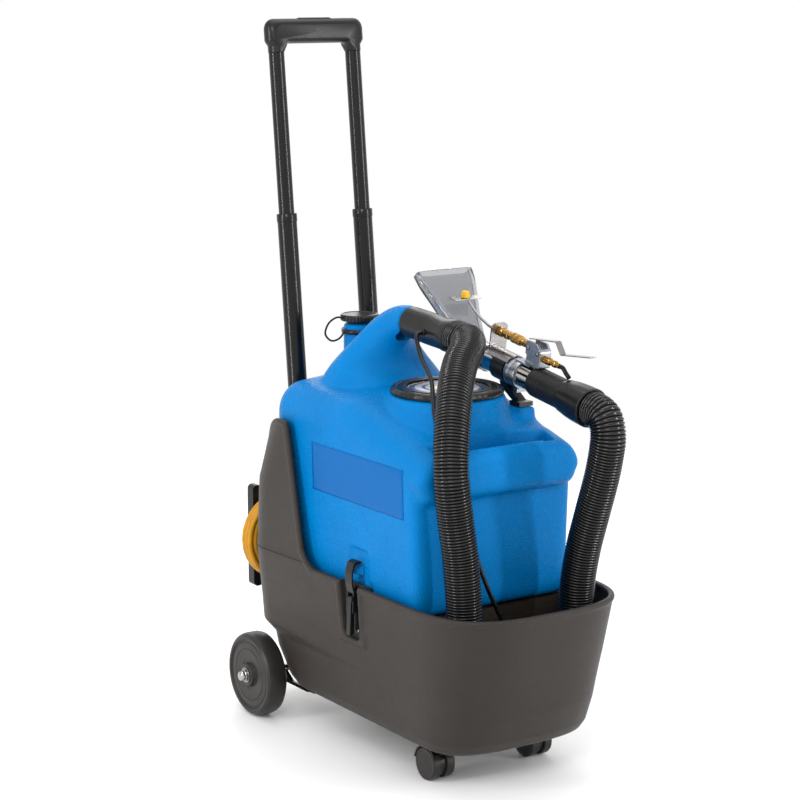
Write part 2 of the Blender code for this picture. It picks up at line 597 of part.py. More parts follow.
def make_handle(mats):
    lean = frame_at("handle_frame", POST_FOOT, (-POST_LEAN, 0, 0))
    made = []
    for side, s in SIDES:
        x = s * POST_X
        outer = turned(f"handle_outer_{side}",
                       [(0.0133, -0.2760), (OUTER_R, -0.2760), (OUTER_R, 0.2560), (0.0168, 0.2562),
                        (0.0168, 0.2766), (0.0133, 0.2766)], "Z", ROUND, mats["paint"], lean, (x, 0, 0))
        inner = turned(f"handle_inner_{side}",
                       [(0.0112, 0.2150), (INNER_R, 0.2150), (INNER_R, 0.5372), (0.0112, 0.5372)],
                       "Z", ROUND, mats["paint"], lean, (x, 0, 0))
        made += [outer, inner]
    inside = [(0.0606, 0.5375, 0), (0.0606, 0.5515, 0.009)]
    outside = [(0.0862, 0.5375, 0), (0.0862, 0.5480, 0.004), (0.0918, 0.5560, 0.006),
               (0.0918, 0.5920, 0.016)]
    shape = outside + [(-a, b, r) for a, b, r in reversed(outside)] \
        + [(-a, b, r) for a, b, r in inside] + [(a, b, r) for a, b, r in reversed(inside)]
    shape = rounded(shape, 3)
    grip = loft("handle_grip", [[grip_point(a, b, y) for a, b in shape]
                                for y in (-0.0150, -0.0120, -0.0070, 0.0, 0.0070, 0.0120, 0.0150)],
                mats["black"], lean)
    cut(grip, block("button_pocket", (-0.0315, -0.0062, 0.5838), (0.0315, 0.0062, 0.600), None, lean))
    button = block("grip_button", (-0.0308, -0.0055, 0.5873), (0.0308, 0.0055, 0.5928),
                   mats["black"], lean)
    plan = [(-0.096, 0.2118), (0.096, 0.2118), (0.096, 0.2590), (0.078, 0.2836), (-0.078, 0.2836),
            (-0.096, 0.2590)]
    clamp = prism("handle_bracket", plan, "Z", 0.312, 0.348, mats["black"])
    for side, s in SIDES:
        bore = turned(f"post_bore_{side}", [(0, -0.30), (OUTER_R + GAP, -0.30), (OUTER_R + GAP, -0.10),
                                            (0, -0.10)], "Z", ROUND, None, lean, (s * POST_X, 0, 0))
        cut(clamp, bore)
    cut(clamp, block("bracket_waist", (-0.052, 0.20, 0.30), (0.052, 0.262, 0.36), None))
    return made + [grip, button, clamp]


# ---------------------------------------------------------------- side latches
def make_latches(mats):
    made = []
    for side, s in SIDES:
        pivot = frame_at(f"latch_lever_{side}_axis", (s * LATCH_X, LATCH_Y, LATCH_Z))
        joint = frame_at(f"latch_hook_{side}_axis", (0, 0, -HOOK_DROP), (0, 0, 0), pivot)

        def strip(name, outline, low, high, mat=None, parent=pivot):
            return prism(name, [(s * a, b) for a, b in outline], "Y", low, high, mat, parent)

        base = strip(f"latch_base_{side}", [(-0.0087, -0.056), (-0.0065, -0.056), (-0.0065, 0.020),
                                            (-0.0087, 0.020)], -0.0135, 0.0135, mats["black"])
        for t in (-1, 1):
            ear = [(-0.0075, -0.012), (-0.0075, 0.010), (0.0005, 0.0075), (0.0045, 0.0), (0.0005, -0.0075)]
            low, high = sorted((t * 0.0056, t * 0.0072))
            join(base, strip(f"latch_ear_{side}_{t}", ear, low, high))
        join(base, strip(f"latch_pin_{side}", circle(0.0015, 8), -0.0068, 0.0068))
        lever = strip(f"latch_lever_{side}", rounded([(-0.0029, 0.0040, 0.002), (-0.0029, -0.0540, 0.002),
                                                      (0.0030, -0.0600, 0.002), (0.0060, -0.0570, 0.002),
                                                      (0.0035, 0.0040, 0.002)], 2),
                      -0.0052, 0.0052, mats["black"])
        cut(lever, strip(f"lever_bore_{side}", circle(0.0018, 8), -0.02, 0.02))
        join(lever, strip(f"hook_pin_{side}", circle(0.0012, 8, (0, -HOOK_DROP)), -0.0092, 0.0092))
        hook = strip(f"latch_hook_{side}", [(-0.0022, 0.0265), (0.0010, 0.0265), (0.0050, 0.0420),
                                            (0.0046, 0.0590), (0.0008, 0.0735), (-0.0050, 0.0765),
                                            (-0.0110, 0.0765), (-0.0150, 0.0735), (-0.0060, 0.0710),
                                            (-0.0018, 0.0690), (0.0022, 0.0580), (0.0026, 0.0425)],
                     -0.0092, 0.0092, mats["black"], joint)
        for t in (-1, 1):
            low, high = sorted((t * 0.0076, t * 0.0092))
            join(hook, strip(f"hook_arm_{side}_{t}", [(-0.0022, -0.0050), (0.0026, -0.0050),
                                                      (0.0026, 0.0080), (0.0010, 0.0300),
                                                      (-0.0020, 0.0300)], low, high, None, joint))
        cut(hook, strip(f"hook_bore_{side}", circle(0.0015, 8), -0.02, 0.02, None, joint))
        made += [base, lever, hook]
    return made


# ---------------------------------------------------------------- the upholstery wand
def make_wand(mats):
    wand = frame_at("wand_frame", WAND_AT, (WAND_TILT, 0, 0))
    tube_piece = turned("wand_tube", [(0.0172, -0.085), (WAND_R, -0.085), (WAND_R, 0.1120),
                                      (0.0172, 0.1120)], "Y", ROUND, mats["chrome"], wand)
    grip = turned("wand_grip", [(WAND_R + GAP, -0.1055), (0.0235, -0.1055), (0.0235, -0.0320),
                                (0.0222, -0.0300), (WAND_R + GAP, -0.0300)], "Y", ROUND,
                  mats["rubber"], wand)
    cuff = turned("wand_cuff", [(0.0195, -0.1680), (0.0306, -0.1680), (0.0300, -0.1400),
                                (0.0270, -0.1150), (0.0262, -0.1060), (0.0195, -0.1060)],
                  "Y", ROUND, mats["black"], wand)
    made = [tube_piece, grip, cuff, make_wand_head(mats, wand)]

    ring = turned("wand_clip", [(WAND_R + GAP, 0.0300), (0.0232, 0.0300), (0.0232, 0.0620),
                                (WAND_R + GAP, 0.0620)], "Y", ROUND, mats["black"], wand)
    foot = block("clip_foot", (0.100, -0.118, 0.5458), (0.126, -0.092, 0.5530), None)
    leg = prism("clip_leg", [(-0.110, 0.550), (-0.092, 0.550), (-0.058, 0.570), (-0.052, 0.590),
                              (-0.0700, 0.590), (-0.0745, 0.5740)], "X",
                0.1075, 0.1225, None)
    join(ring, foot, leg)
    hollow = turned("clip_bore", [(0, 0.02), (WAND_R + GAP, 0.02), (WAND_R + GAP, 0.08), (0, 0.08)],
                    "Y", ROUND, None, wand)
    cut(ring, hollow)
    made.append(ring)

    clamp = turned("valve_clamp", [(WAND_R + GAP, 0.0020), (0.0226, 0.0020), (0.0226, 0.0285),
                                   (WAND_R + GAP, 0.0285)], "Y", ROUND, mats["steel"], wand)
    join(clamp, block("clamp_lug", (-0.010, 0.003, -0.0275), (0.010, 0.011, -0.0215), None, wand),
         block("clamp_post", (-0.009, -0.0200, 0.0205), (0.013, 0.0160, 0.0232), None, wand))
    valve = block("valve_block", (-0.009, -0.0435, 0.0236), (0.013, -0.0060, 0.0610), mats["steel"], wand)
    cut(valve, block("valve_slot", (-0.0045, -0.060, 0.0540), (0.0085, 0.030, 0.070), None, wand))
    coupling = turned("brass_coupling", [(0, -0.0057), (0.0065, -0.0057), (0.0065, 0.018), (0.0082, 0.020),
                                         (0.0082, 0.040), (0.0062, 0.042), (0.0062, 0.066),
                                         (0.0078, 0.068), (0.0078, 0.0840), (0.0040, 0.0860),
                                         (0.0040, 0.0965), (0, 0.0965)],
                      "Y", 12, mats["brass"], wand, (0.002, 0, 0.0500))
    bracket = block("coupling_bracket", (-0.015, 0.0760, 0.0195), (0.017, 0.0785, 0.0640),
                    mats["steel"], wand)
    join(bracket, block("bracket_base", (-0.010, 0.0640, 0.0180), (0.012, 0.0780, 0.0225), None, wand))
    cut(bracket, turned("bracket_bore", [(0, 0.05), (0.0084, 0.05), (0.0084, 0.11), (0, 0.11)], "Y",
                        12, None, wand, (0.002, 0, 0.0500)),
        turned("bracket_saddle", [(0, 0.05), (WAND_R + GAP, 0.05), (WAND_R + GAP, 0.11), (0, 0.11)],
               "Y", ROUND, None, wand))
    inlet = turned("inlet_fitting", [(0, -0.0438), (0.0062, -0.0438), (0.0062, -0.0580),
                                     (0.0044, -0.0590), (0.0044, -0.0800), (0, -0.0800)],
                   "Y", 12, mats["brass"], wand, (0.002, 0, 0.0390))
    made += [clamp, valve, coupling, bracket, inlet]

    line = tube("feed_tube", smooth_route([(0.002, 0.0971, 0.0500), (0.002, 0.1080, 0.0508),
                                           (0.001, 0.135, 0.0595), (0.0, 0.1620, 0.0745)], 0.008),
                0.0022, mats["steel"], 2, wand)
    plate = block("jet_bracket", (-0.026, 0.164, 0.0768), (0.026, 0.182, 0.0784), mats["steel"], wand)
    nozzle = turned("spray_nozzle", [(0, 0), (0.0075, 0), (0.0075, 0.006), (0.0055, 0.010), (0, 0.011)],
                    "Z", 12, mats["yellow"], wand, (0, 0.173, 0.0787))
    link = tube("valve_line", smooth_route([(0.002, -0.0808, 0.0390), (0.002, -0.0875, 0.0388),
                                            (0.002, -0.0960, 0.0330), (0.002, -0.1046, 0.0282)], 0.009),
                LINE_D / 2, mats["black"], 2, wand)
    made += [line, plate, nozzle, link]

    hinge = frame_at("trigger_axis", (0.002, -0.0110, 0.0600), (0, 0, 0), wand)
    bend = [(0.006, 0.0030), (-0.0580, 0.0160), (-0.0730, -0.0005), (-0.1450, 0.0165),
            (-0.1450, 0.0149), (-0.0736, -0.0021), (-0.0588, 0.0142), (0.006, 0.0014)]
    lever = prism("trigger_lever", bend, "X", -0.0058, 0.0058, mats["steel"], hinge)
    made.append(lever)
    return made


def make_wand_head(mats, wand):
    """A clear funnel from the round tube to a wide flat slot."""
    stations = ((0.0950, 0.0, 0, 0.0222, 0.0222, 2.0), (0.1150, 0.0, 6, 0.0222, 0.0222, 2.0),
                (0.1400, 0.0080, 30, 0.0245, 0.0190, 2.3), (0.1700, 0.0340, 40, 0.0320, 0.0145, 3.0),
                (0.1960, 0.0600, 40, 0.0420, 0.0110, 4.0), (0.2250, 0.0880, 40, 0.0530, 0.0090, 6.0),
                (0.2400, 0.1020, 40, 0.0545, 0.0090, 6.0))

    def skin(name, wall, mat, reach):
        rings = []
        for i, (y, z, tilt, wide, deep, power) in enumerate(stations):
            a = math.radians(tilt)
            on = Vector((0, math.cos(a), math.sin(a)))
            up = Vector((0, -math.sin(a), math.cos(a)))
            shift = -reach if i == 0 else reach if i == len(stations) - 1 else 0.0
            ring = []
            for k in range(20):
                t = 2 * math.pi * k / 20
                c, s = math.cos(t), math.sin(t)
                x = (wide - wall) * math.copysign(abs(c) ** (2 / power), c)
                h = (deep - wall) * math.copysign(abs(s) ** (2 / power), s)
                ring.append(Vector((x, y, z)) + on * shift + up * h)
            rings.append(ring)
        return loft(name, rings, mat, wand)

    head = skin("wand_head", 0.0, mats["clear"], 0.0)
    cut(head, skin("head_bore", 0.0029, None, 0.001))
    return head


# ---------------------------------------------------------------- hose, lines and power cord
HOSE_ROUTE = [(0, -0.0865, 0.6600), (0, -0.1045, 0.6587), (0, -0.1190, 0.6574), (-0.020, -0.144, 0.6490),
              (-0.050, -0.168, 0.6310), (-0.083, -0.202, 0.5960), (-0.107, -0.229, 0.5430),
              (-0.118, -0.244, 0.4870), (-0.112, -0.247, 0.4200), (-0.104, -0.249, 0.3600),
              (-0.100, -0.251, 0.3000), (-0.099, -0.254, 0.2300), (-0.090, -0.256, 0.1650),
              (-0.058, -0.258, 0.1150), (0.002, -0.259, 0.1000), (0.062, -0.260, 0.1150),
              (0.094, -0.262, 0.1650), (0.103, -0.262, 0.2250), (0.103, -0.263, 0.2900),
              (0.106, -0.272, 0.3500), (0.110, -0.288, 0.4100), (0.114, -0.304, 0.4680),
              (0.115, -0.3130, 0.5080), (0.115, -0.3160, 0.5280), (0.115, -0.3140, 0.5450),
              (0.115, -0.3070, 0.5580), (0.115, -0.2942, 0.5648), (0.115, -0.2776, 0.5673)]
LINE_ROUTE = [(-0.0260, -0.0370, 0.6637), (-0.0380, -0.0380, 0.6610), (-0.0435, -0.0490, 0.6470),
              (-0.0501, -0.0700, 0.6274), (-0.0612, -0.1100, 0.6051), (-0.0783, -0.1400, 0.5795),
              (-0.0930, -0.1680, 0.5540), (-0.0950, -0.1930, 0.5340), (-0.0860, -0.2115, 0.5110),
              (-0.0780, -0.2210, 0.4750), (-0.0720, -0.2220, 0.4300), (-0.0670, -0.2240, 0.3900),
              (-0.060, -0.2320, 0.3480), (-0.044, -0.2370, 0.3020), (-0.022, -0.2400, 0.2560),
              (-0.002, -0.2440, 0.2200), (0.0090, -0.2410, 0.1975), (0.0120, -0.2310, 0.1872),
              (0.0120, -0.2176, 0.1860)]
LEAD_ROUTE = [(RELIEF_X, 0.3014, RELIEF_Z), (RELIEF_X, 0.3100, RELIEF_Z + 0.0005),
              (-0.0430, 0.3230, 0.1280), (-0.022, 0.3310, 0.1400), (0.004, 0.3300, 0.1570),
              (0.030, 0.3210, 0.1760), (0.050, 0.3120, 0.1900), (0.068, 0.3075, 0.1978)]


def stadium(radius, steps=8):
    """The outline of a loop round both hooks: two straight runs and two half circles."""
    points = []
    for s in (1, -1):
        for i in range(steps + 1):
            a = math.pi * (i / steps - 0.5)
            points.append((s * (COIL_HALF + radius * math.cos(a)), COIL_AT.z + s * radius * math.sin(a)))
    return points


def make_cords(mats):
    hose = tube("vacuum_hose", smooth_route(HOSE_ROUTE, 0.0166), HOSE_D / 2, mats["black"], 3)
    line = tube("solution_line", smooth_route(LINE_ROUTE, 0.016), LINE_D / 2, mats["black"], 2)
    coupler = turned("line_coupler", [(0, -0.2162), (0.0065, -0.2162), (0.0065, -0.2080),
                                      (0.0095, -0.2060), (0.0095, -0.1960), (0.0120, -0.1945),
                                      (0.0120, -0.1884), (0, -0.1884)],
                     "Y", 14, mats["brass"], None, (0.0120, 0, 0.1860))
    coil_low = 0.2938
    coil_high = coil_low + CORD_D * COIL_DEEP + 0.001
    outer = COIL_TOP_R + CORD_D / 2
    inner = outer - CORD_D * COIL_HIGH
    coil = prism("power_cord_coil", stadium(outer), "Y", coil_low, coil_high, mats["cord"])
    cut(coil, prism("coil_eye", stadium(inner), "Y", coil_low - 0.01, coil_high + 0.01, None))
    lead = tube("power_cord_lead", smooth_route(LEAD_ROUTE, 0.016), CORD_D / 2, mats["cord"], 2)
    plug = block("power_plug", (0.020, 0.2970, 0.3535), (0.052, 0.3190, 0.3715), mats["yellow"])
    for y in (0.3030, 0.3130):
        join(plug, block(f"plug_blade_{y:.3f}", (0.050, y - 0.0008, 0.3595), (0.068, y + 0.0008, 0.3655),
                         None))
    relief = turned("strain_relief", [(0, 0.2380), (0.0105, 0.2380), (0.0105, 0.2410), (0.0074, 0.2410),
                                      (0.0074, 0.2760), (0.0066, 0.2860), (0.0056, 0.3007),
                                      (0, 0.3007)],
                    "Y", 12, mats["rubber"], None, (RELIEF_X, 0, RELIEF_Z))
    wrap = block("cord_wrap", (-0.118, 0.2932, 0.262), (0.118, 0.2936, 0.294), mats["black"])
    for side, s in SIDES:
        x = s * 0.110
        bar = prism(f"wrap_bar_{side}", rounded([(x - 0.009, 0.191, 0.008), (x + 0.009, 0.191, 0.008),
                                                 (x + 0.009, 0.365, 0.008), (x - 0.009, 0.365, 0.008)], 3),
                    "Y", 0.3270, BACK, None)
        stem_x = s * 0.096
        stem = prism(f"wrap_stem_{side}", circle(0.0080, 12, (stem_x, COIL_AT.z)), "Y", 0.2934, 0.3300, None)
        join(wrap, bar, stem)
    return [hose, line, coupler, coil, lead, plug, relief, wrap]


def make_switches(mats):
    made = []
    for name, x in zip(("vacuum_switch", "pump_switch"), SWITCH_X):
        axis = frame_at(f"{name}_axis", (x, 0.2850, SWITCH_Z))
        rocker = [(-0.0060, -0.0078), (0.0060, -0.0078), (0.0072, -0.0060), (0.0050, 0.0),
                  (0.0072, 0.0060), (0.0060, 0.0078), (-0.0060, 0.0078)]
        made.append(prism(name, rocker, "X", -0.0110, 0.0110, mats["red"], axis))
    return made


# ---------------------------------------------------------------- the whole machine
def main():
    for obj in list(bpy.data.objects):
        bpy.data.objects.remove(obj, do_unlink=True)
    mats = make_materials()
    make_tub(mats)
    make_insides(mats)
    make_tank(mats)
    make_tank_fittings(mats)
    make_wheels(mats)
    make_casters(mats)
    make_handle(mats)
    make_latches(mats)
    make_wand(mats)
    make_cords(mats)
    make_switches(mats)


main()
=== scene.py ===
"""Looks for the carpet cleaner machine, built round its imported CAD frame.

Every piece sits in the CAD's frame, in metres: +Z up, -Y towards the caster end, +X towards
the wand. Pieces are made in place, so every object stays at the origin.
"""
from math import copysign, cos, pi, radians, sin, sqrt, tan

import bmesh
import bpy
from mathutils import Matrix, Vector
from mathutils.bvhtree import BVHTree


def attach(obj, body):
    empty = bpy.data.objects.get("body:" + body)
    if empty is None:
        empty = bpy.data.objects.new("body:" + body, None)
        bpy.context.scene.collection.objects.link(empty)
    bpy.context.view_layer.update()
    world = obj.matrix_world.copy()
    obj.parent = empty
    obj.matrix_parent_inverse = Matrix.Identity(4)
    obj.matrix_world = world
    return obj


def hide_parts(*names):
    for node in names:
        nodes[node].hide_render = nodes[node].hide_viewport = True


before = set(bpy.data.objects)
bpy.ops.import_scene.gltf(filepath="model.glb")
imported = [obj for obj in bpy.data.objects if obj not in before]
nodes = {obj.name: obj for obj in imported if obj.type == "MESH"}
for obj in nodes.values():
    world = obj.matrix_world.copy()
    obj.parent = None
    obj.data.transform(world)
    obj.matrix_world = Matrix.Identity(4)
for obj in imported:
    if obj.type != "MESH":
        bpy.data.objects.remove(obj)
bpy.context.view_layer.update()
scene = bpy.context.scene

# ---- sizes shared with the CAD
SIDES = (("left", -1), ("right", 1))
MACHINE = "machine"
GAP = 0.0003
RIM_Z = 0.285
WING_Z = 0.508
FLOOR_Z = 0.06
WALL = 0.006
FRONT = -0.345
BACK = 0.345
BOW_START = -0.185
BOW_POWER = 3.2
TANK_LOW = 0.259
TANK_SHELL = 0.005
TANK_HALF = 0.15
SHOULDER = 0.045
WHEEL_R = 0.069
WHEEL_X = 0.18
WHEEL_WIDE = 0.036
AXLE_Y = 0.245
AXLE_R = 0.006
CASTER_R = 0.0254
CASTER_X = 0.093
CASTER_Y = -0.17
CASTER_TRAIL = 0.016
POST_X = 0.0733
POST_LEAN = radians(6.08)
OUTER_R = 0.03175 / 2
INNER_R = 0.0254 / 2
LID_AT = Vector((0.0, -0.065, 0.572))
LID_R = 0.0875
NECK_Y = 0.181
DUCT_Y = 0.033
DUCT_Z = 0.669
HOSE_D = 0.054
LINE_D = 0.007
CORD_D = 0.009
WAND_R = 0.019
COIL_Z = 0.278
COIL_HALF = 0.072
COIL_TOP_R = 0.0705
COIL_LOW_Y = 0.2983
LATCH_X = 0.1595
LATCH_Y = -0.038
LATCH_Z = 0.262
HOOK_DROP = 0.017
SWITCH_X = (0.035, 0.068)
SWITCH_Z = 0.378
SWITCH_HALF_WIDE = 0.0133         # of the holes that the switches sit in
SWITCH_HALF_HIGH = 0.0105
RELIEF_X = -0.05
RELIEF_Z = 0.125


def shift(x, y, z):
    return Matrix.Translation((x, y, z))


HANDLE = shift(0, 0.256, 0.545) @ Matrix.Rotation(-POST_LEAN, 4, "X")
WAND = shift(0.115, -0.111, 0.5928) @ Matrix.Rotation(radians(8.7), 4, "X")
DUCT = shift(0, DUCT_Y, DUCT_Z) @ Matrix.Rotation(radians(4.3), 4, "X")
HERE = Matrix.Identity(4)

HOSE_ROUTE = [(0, -0.0865, 0.66), (0, -0.1045, 0.6587), (0, -0.119, 0.6574), (-0.02, -0.144, 0.649),
    (-0.05, -0.168, 0.631), (-0.083, -0.202, 0.596), (-0.107, -0.229, 0.543), (-0.118, -0.244, 0.487),
    (-0.112, -0.247, 0.42), (-0.104, -0.249, 0.36), (-0.1, -0.251, 0.3), (-0.099, -0.254, 0.23),
    (-0.09, -0.256, 0.165), (-0.058, -0.258, 0.115), (0.002, -0.259, 0.1), (0.062, -0.26, 0.115),
    (0.094, -0.262, 0.165), (0.103, -0.262, 0.225), (0.103, -0.263, 0.29), (0.106, -0.272, 0.35),
    (0.11, -0.288, 0.41), (0.114, -0.304, 0.468), (0.115, -0.313, 0.508), (0.115, -0.316, 0.528),
    (0.115, -0.314, 0.545), (0.115, -0.307, 0.558), (0.115, -0.2942, 0.5648), (0.115, -0.2776, 0.5673)]
LINE_ROUTE = [(-0.026, -0.037, 0.6637), (-0.038, -0.038, 0.661), (-0.0435, -0.049, 0.647),
    (-0.0501, -0.07, 0.6274), (-0.0612, -0.11, 0.6051), (-0.0783, -0.14, 0.5795),
    (-0.093, -0.168, 0.554), (-0.095, -0.193, 0.534), (-0.086, -0.2115, 0.511),
    (-0.078, -0.221, 0.475), (-0.072, -0.222, 0.43), (-0.067, -0.224, 0.39),
    (-0.06, -0.232, 0.348), (-0.044, -0.237, 0.302), (-0.022, -0.24, 0.256),
    (-0.002, -0.244, 0.22), (0.009, -0.241, 0.1975), (0.012, -0.231, 0.1872),
    (0.012, -0.2176, 0.186)]
LEAD_ROUTE = [(RELIEF_X, 0.3014, RELIEF_Z), (RELIEF_X, 0.31, RELIEF_Z + 0.0005),
    (-0.043, 0.323, 0.128), (-0.022, 0.331, 0.14), (0.004, 0.33, 0.157), (0.03, 0.321, 0.176),
    (0.05, 0.315, 0.19), (0.068, 0.3135, 0.1982)]


# ---- camera, floor and lights
def make_camera():
    data = bpy.data.cameras.new("camera")
    data.lens = 100.8
    data.sensor_width = 36.0
    data.clip_end = 50.0
    camera = bpy.data.objects.new("camera", data)
    scene.collection.objects.link(camera)
    camera.location = (-1.9555, -2.835, 1.2)
    camera.rotation_euler = (radians(79.3), 0.0, radians(-34.0))
    scene.camera = camera


def area_light(name, place, aim, size, power):
    data = bpy.data.lights.new(name, "AREA")
    data.shape = "RECTANGLE"
    data.size, data.size_y = size
    data.energy = power
    light = bpy.data.objects.new(name, data)
    scene.collection.objects.link(light)
    light.location = place
    light.rotation_euler = (Vector(aim) - Vector(place)).to_track_quat("-Z", "Y").to_euler()


def make_studio():
    """An even white room, broad soft boxes, and two narrow strips for streaks of light."""
    scene.view_settings.view_transform = "Standard"
    world = bpy.data.worlds.new("studio")
    scene.world = world
    world.use_nodes = True
    background = world.node_tree.nodes["Background"]
    background.inputs["Color"].default_value = (1.0, 1.0, 1.0, 1.0)
    background.inputs["Strength"].default_value = 1.0
    middle = (0.0, 0.0, 0.45)
    area_light("key", (-2.0, -2.2, 2.6), middle, (1.2, 1.2), 34.0)
    area_light("top", (0.2, 0.3, 2.9), middle, (1.6, 2.2), 22.0)
    area_light("left_strip", (-2.5, 0.15, 1.1), middle, (0.12, 1.9), 30.0)
    area_light("right_strip", (1.5, -2.1, 1.1), middle, (0.1, 1.9), 32.0)
    area_light("back", (1.4, 2.6, 1.8), middle, (1.4, 1.4), 12.0)


FLOOR_R = 2.3                    # the far edge lies where the lights still turn the floor white


def make_floor():
    bm = bmesh.new()
    bmesh.ops.create_circle(bm, cap_ends=True, segments=128, radius=FLOOR_R)
    floor = finish_mesh("floor", bm, shift(0, 0, -0.0004))
    floor.data.materials.append(LOOKS["studio_floor"])


# ---- materials
def principled(name, color, roughness, **sockets):
    mat = bpy.data.materials.new(name)
    mat.use_nodes = True
    shader = shader_of(mat)
    shader.inputs["Base Color"].default_value = (*color, 1.0)
    shader.inputs["Roughness"].default_value = roughness
    for label, value in sockets.items():
        shader.inputs[label.replace("_", " ")].default_value = value
    return mat


def shader_of(mat):
    return mat.node_tree.nodes["Principled BSDF"]


def wire(mat, output, socket):
    mat.node_tree.links.new(output, socket)


def node_in(mat, kind, **values):
    node = mat.node_tree.nodes.new(kind)
    for label, value in values.items():
        node.inputs[label.replace("_", " ")].default_value = value
    return node


def position(mat, stretch=(1.0, 1.0, 1.0)):
    """The surface's place in metres, stretched along each axis."""
    place = node_in(mat, "ShaderNodeTexCoord")
    mapping = node_in(mat, "ShaderNodeMapping", Scale=stretch)
    wire(mat, place.outputs["Object"], mapping.inputs["Vector"])
    return mapping.outputs["Vector"]


def noise(mat, scale, detail=2.0, stretch=(1.0, 1.0, 1.0)):
    texture = node_in(mat, "ShaderNodeTexNoise", Scale=scale, Detail=detail, Roughness=0.55)
    wire(mat, position(mat, stretch), texture.inputs["Vector"])
    return texture.outputs["Fac"]


def bump(mat, height, strength, distance):
    """Adds a height pattern on top of whatever bump the material already has."""
    shader = shader_of(mat)
    node = node_in(mat, "ShaderNodeBump", Strength=strength, Distance=distance)
    if shader.inputs["Normal"].is_linked:
        wire(mat, shader.inputs["Normal"].links[0].from_socket, node.inputs["Normal"])
    wire(mat, height, node.inputs["Height"])
    wire(mat, node.outputs["Normal"], shader.inputs["Normal"])


def ramp(mat, value, low, high, start=0.3, end=0.7):
    node = node_in(mat, "ShaderNodeValToRGB")
    for stop, color, place in zip(node.color_ramp.elements, (low, high), (start, end)):
        stop.color = (*color, 1.0)
        stop.position = place
    wire(mat, value, node.inputs["Fac"])
    return node.outputs["Color"]


def vary_color(mat, value, low, high, start=0.3, end=0.7):
    shader = shader_of(mat)
    wire(mat, ramp(mat, value, low, high, start, end), shader.inputs["Base Color"])


def vary_roughness(mat, value, low, high):
    node = node_in(mat, "ShaderNodeMapRange", To_Min=low, To_Max=high)
    shader = shader_of(mat)
    wire(mat, value, node.inputs["Value"])
    wire(mat, node.outputs["Result"], shader.inputs["Roughness"])


def scaled(color, factor):
    return tuple(channel * factor for channel in color)


SHEEN = 0.28                     # the plastics' specular level under these bright walls


def moulded_plastic(name, color, roughness, grain, depth, spread, sheen):
    """Moulded plastic: a fine stipple, slow colour drift and uneven gloss."""
    mat = principled(name, color, roughness, IOR=1.5, Specular_IOR_Level=sheen)
    vary_color(mat, noise(mat, 9.0, 3.0), scaled(color, 1 - spread), scaled(color, 1 + spread))
    vary_roughness(mat, noise(mat, 60.0, 3.0), roughness - 0.05, roughness + 0.07)
    bump(mat, noise(mat, 28.0, 2.0), 0.18, 0.0016)
    bump(mat, noise(mat, grain, 2.0), 0.9, depth)
    return mat


def smooth_plastic(name, color, roughness, sheen=SHEEN):
    mat = principled(name, color, roughness, IOR=1.5, Specular_IOR_Level=sheen)
    vary_color(mat, noise(mat, 40.0, 3.0), scaled(color, 0.85), scaled(color, 1.2))
    vary_roughness(mat, noise(mat, 90.0, 4.0), roughness - 0.04, roughness + 0.08)
    bump(mat, noise(mat, 900.0, 2.0), 0.12, 0.0003)
    return mat


def metal(name, color, roughness, stretch, scale=220.0, depth=0.0002):
    """Metal with fine drawn or turned lines along one axis."""
    mat = principled(name, color, roughness, Metallic=1.0)
    lines = noise(mat, scale, 4.0, stretch)
    vary_color(mat, noise(mat, 45.0, 3.0), scaled(color, 0.86), scaled(color, 1.06))
    vary_roughness(mat, lines, max(0.02, roughness - 0.05), roughness + 0.08)
    bump(mat, lines, 0.25, depth)
    return mat


def clear_plastic(name, color, roughness):
    mat = principled(name, color, roughness, IOR=1.49, Transmission_Weight=0.92)
    vary_roughness(mat, noise(mat, 50.0, 4.0), roughness, roughness + 0.08)
    bump(mat, noise(mat, 60.0, 2.0), 0.1, 0.0004)
    return mat


def label_disc():
    """The lid's plain sticker: rings of grey, blue and yellow."""
    mat = principled("lid_sticker", (0.6, 0.6, 0.62), 0.32, Coat_Weight=0.4)
    place = node_in(mat, "ShaderNodeVectorMath")
    place.operation = "SUBTRACT"
    place.inputs[1].default_value = (LID_AT.x, LID_AT.y, LID_AT.z)
    wire(mat, position(mat), place.inputs[0])
    length = node_in(mat, "ShaderNodeVectorMath")
    length.operation = "LENGTH"
    wire(mat, place.outputs["Vector"], length.inputs[0])
    spread = node_in(mat, "ShaderNodeMapRange", From_Max=0.056)
    wire(mat, length.outputs["Value"], spread.inputs["Value"])
    rings = node_in(mat, "ShaderNodeValToRGB")
    rings.color_ramp.interpolation = "CONSTANT"
    stops = ((0.0, (0.62, 0.63, 0.66)), (0.3, (0.72, 0.55, 0.1)), (0.42, (0.6, 0.61, 0.64)),
        (0.62, (0.05, 0.09, 0.26)), (0.7, (0.55, 0.56, 0.6)), (0.9, (0.1, 0.12, 0.2)))
    ramp_stops = rings.color_ramp.elements
    while len(ramp_stops) < len(stops):
        ramp_stops.new(0.5)
    for stop, (place_on, color) in zip(ramp_stops, stops):
        stop.position = place_on
        stop.color = (*color, 1.0)
    shader = shader_of(mat)
    wire(mat, spread.outputs["Result"], rings.inputs["Fac"])
    wire(mat, rings.outputs["Color"], shader.inputs["Base Color"])
    bump(mat, noise(mat, 300.0, 2.0), 0.1, 0.0003)
    return mat


# colour, roughness, grain of the stipple, its depth, spread of the colour, specular level
MOULDED = {
    "tub_plastic": ((0.023, 0.018, 0.015), 0.4, 700.0, 0.001, 0.1, 0.24),
    "tank_plastic": ((0.0, 0.158, 0.441), 0.26, 560.0, 0.0012, 0.06, 0.06),
    "tank_label": ((0.0, 0.1, 0.33), 0.22, 560.0, 0.0004, 0.03, 0.08),
}
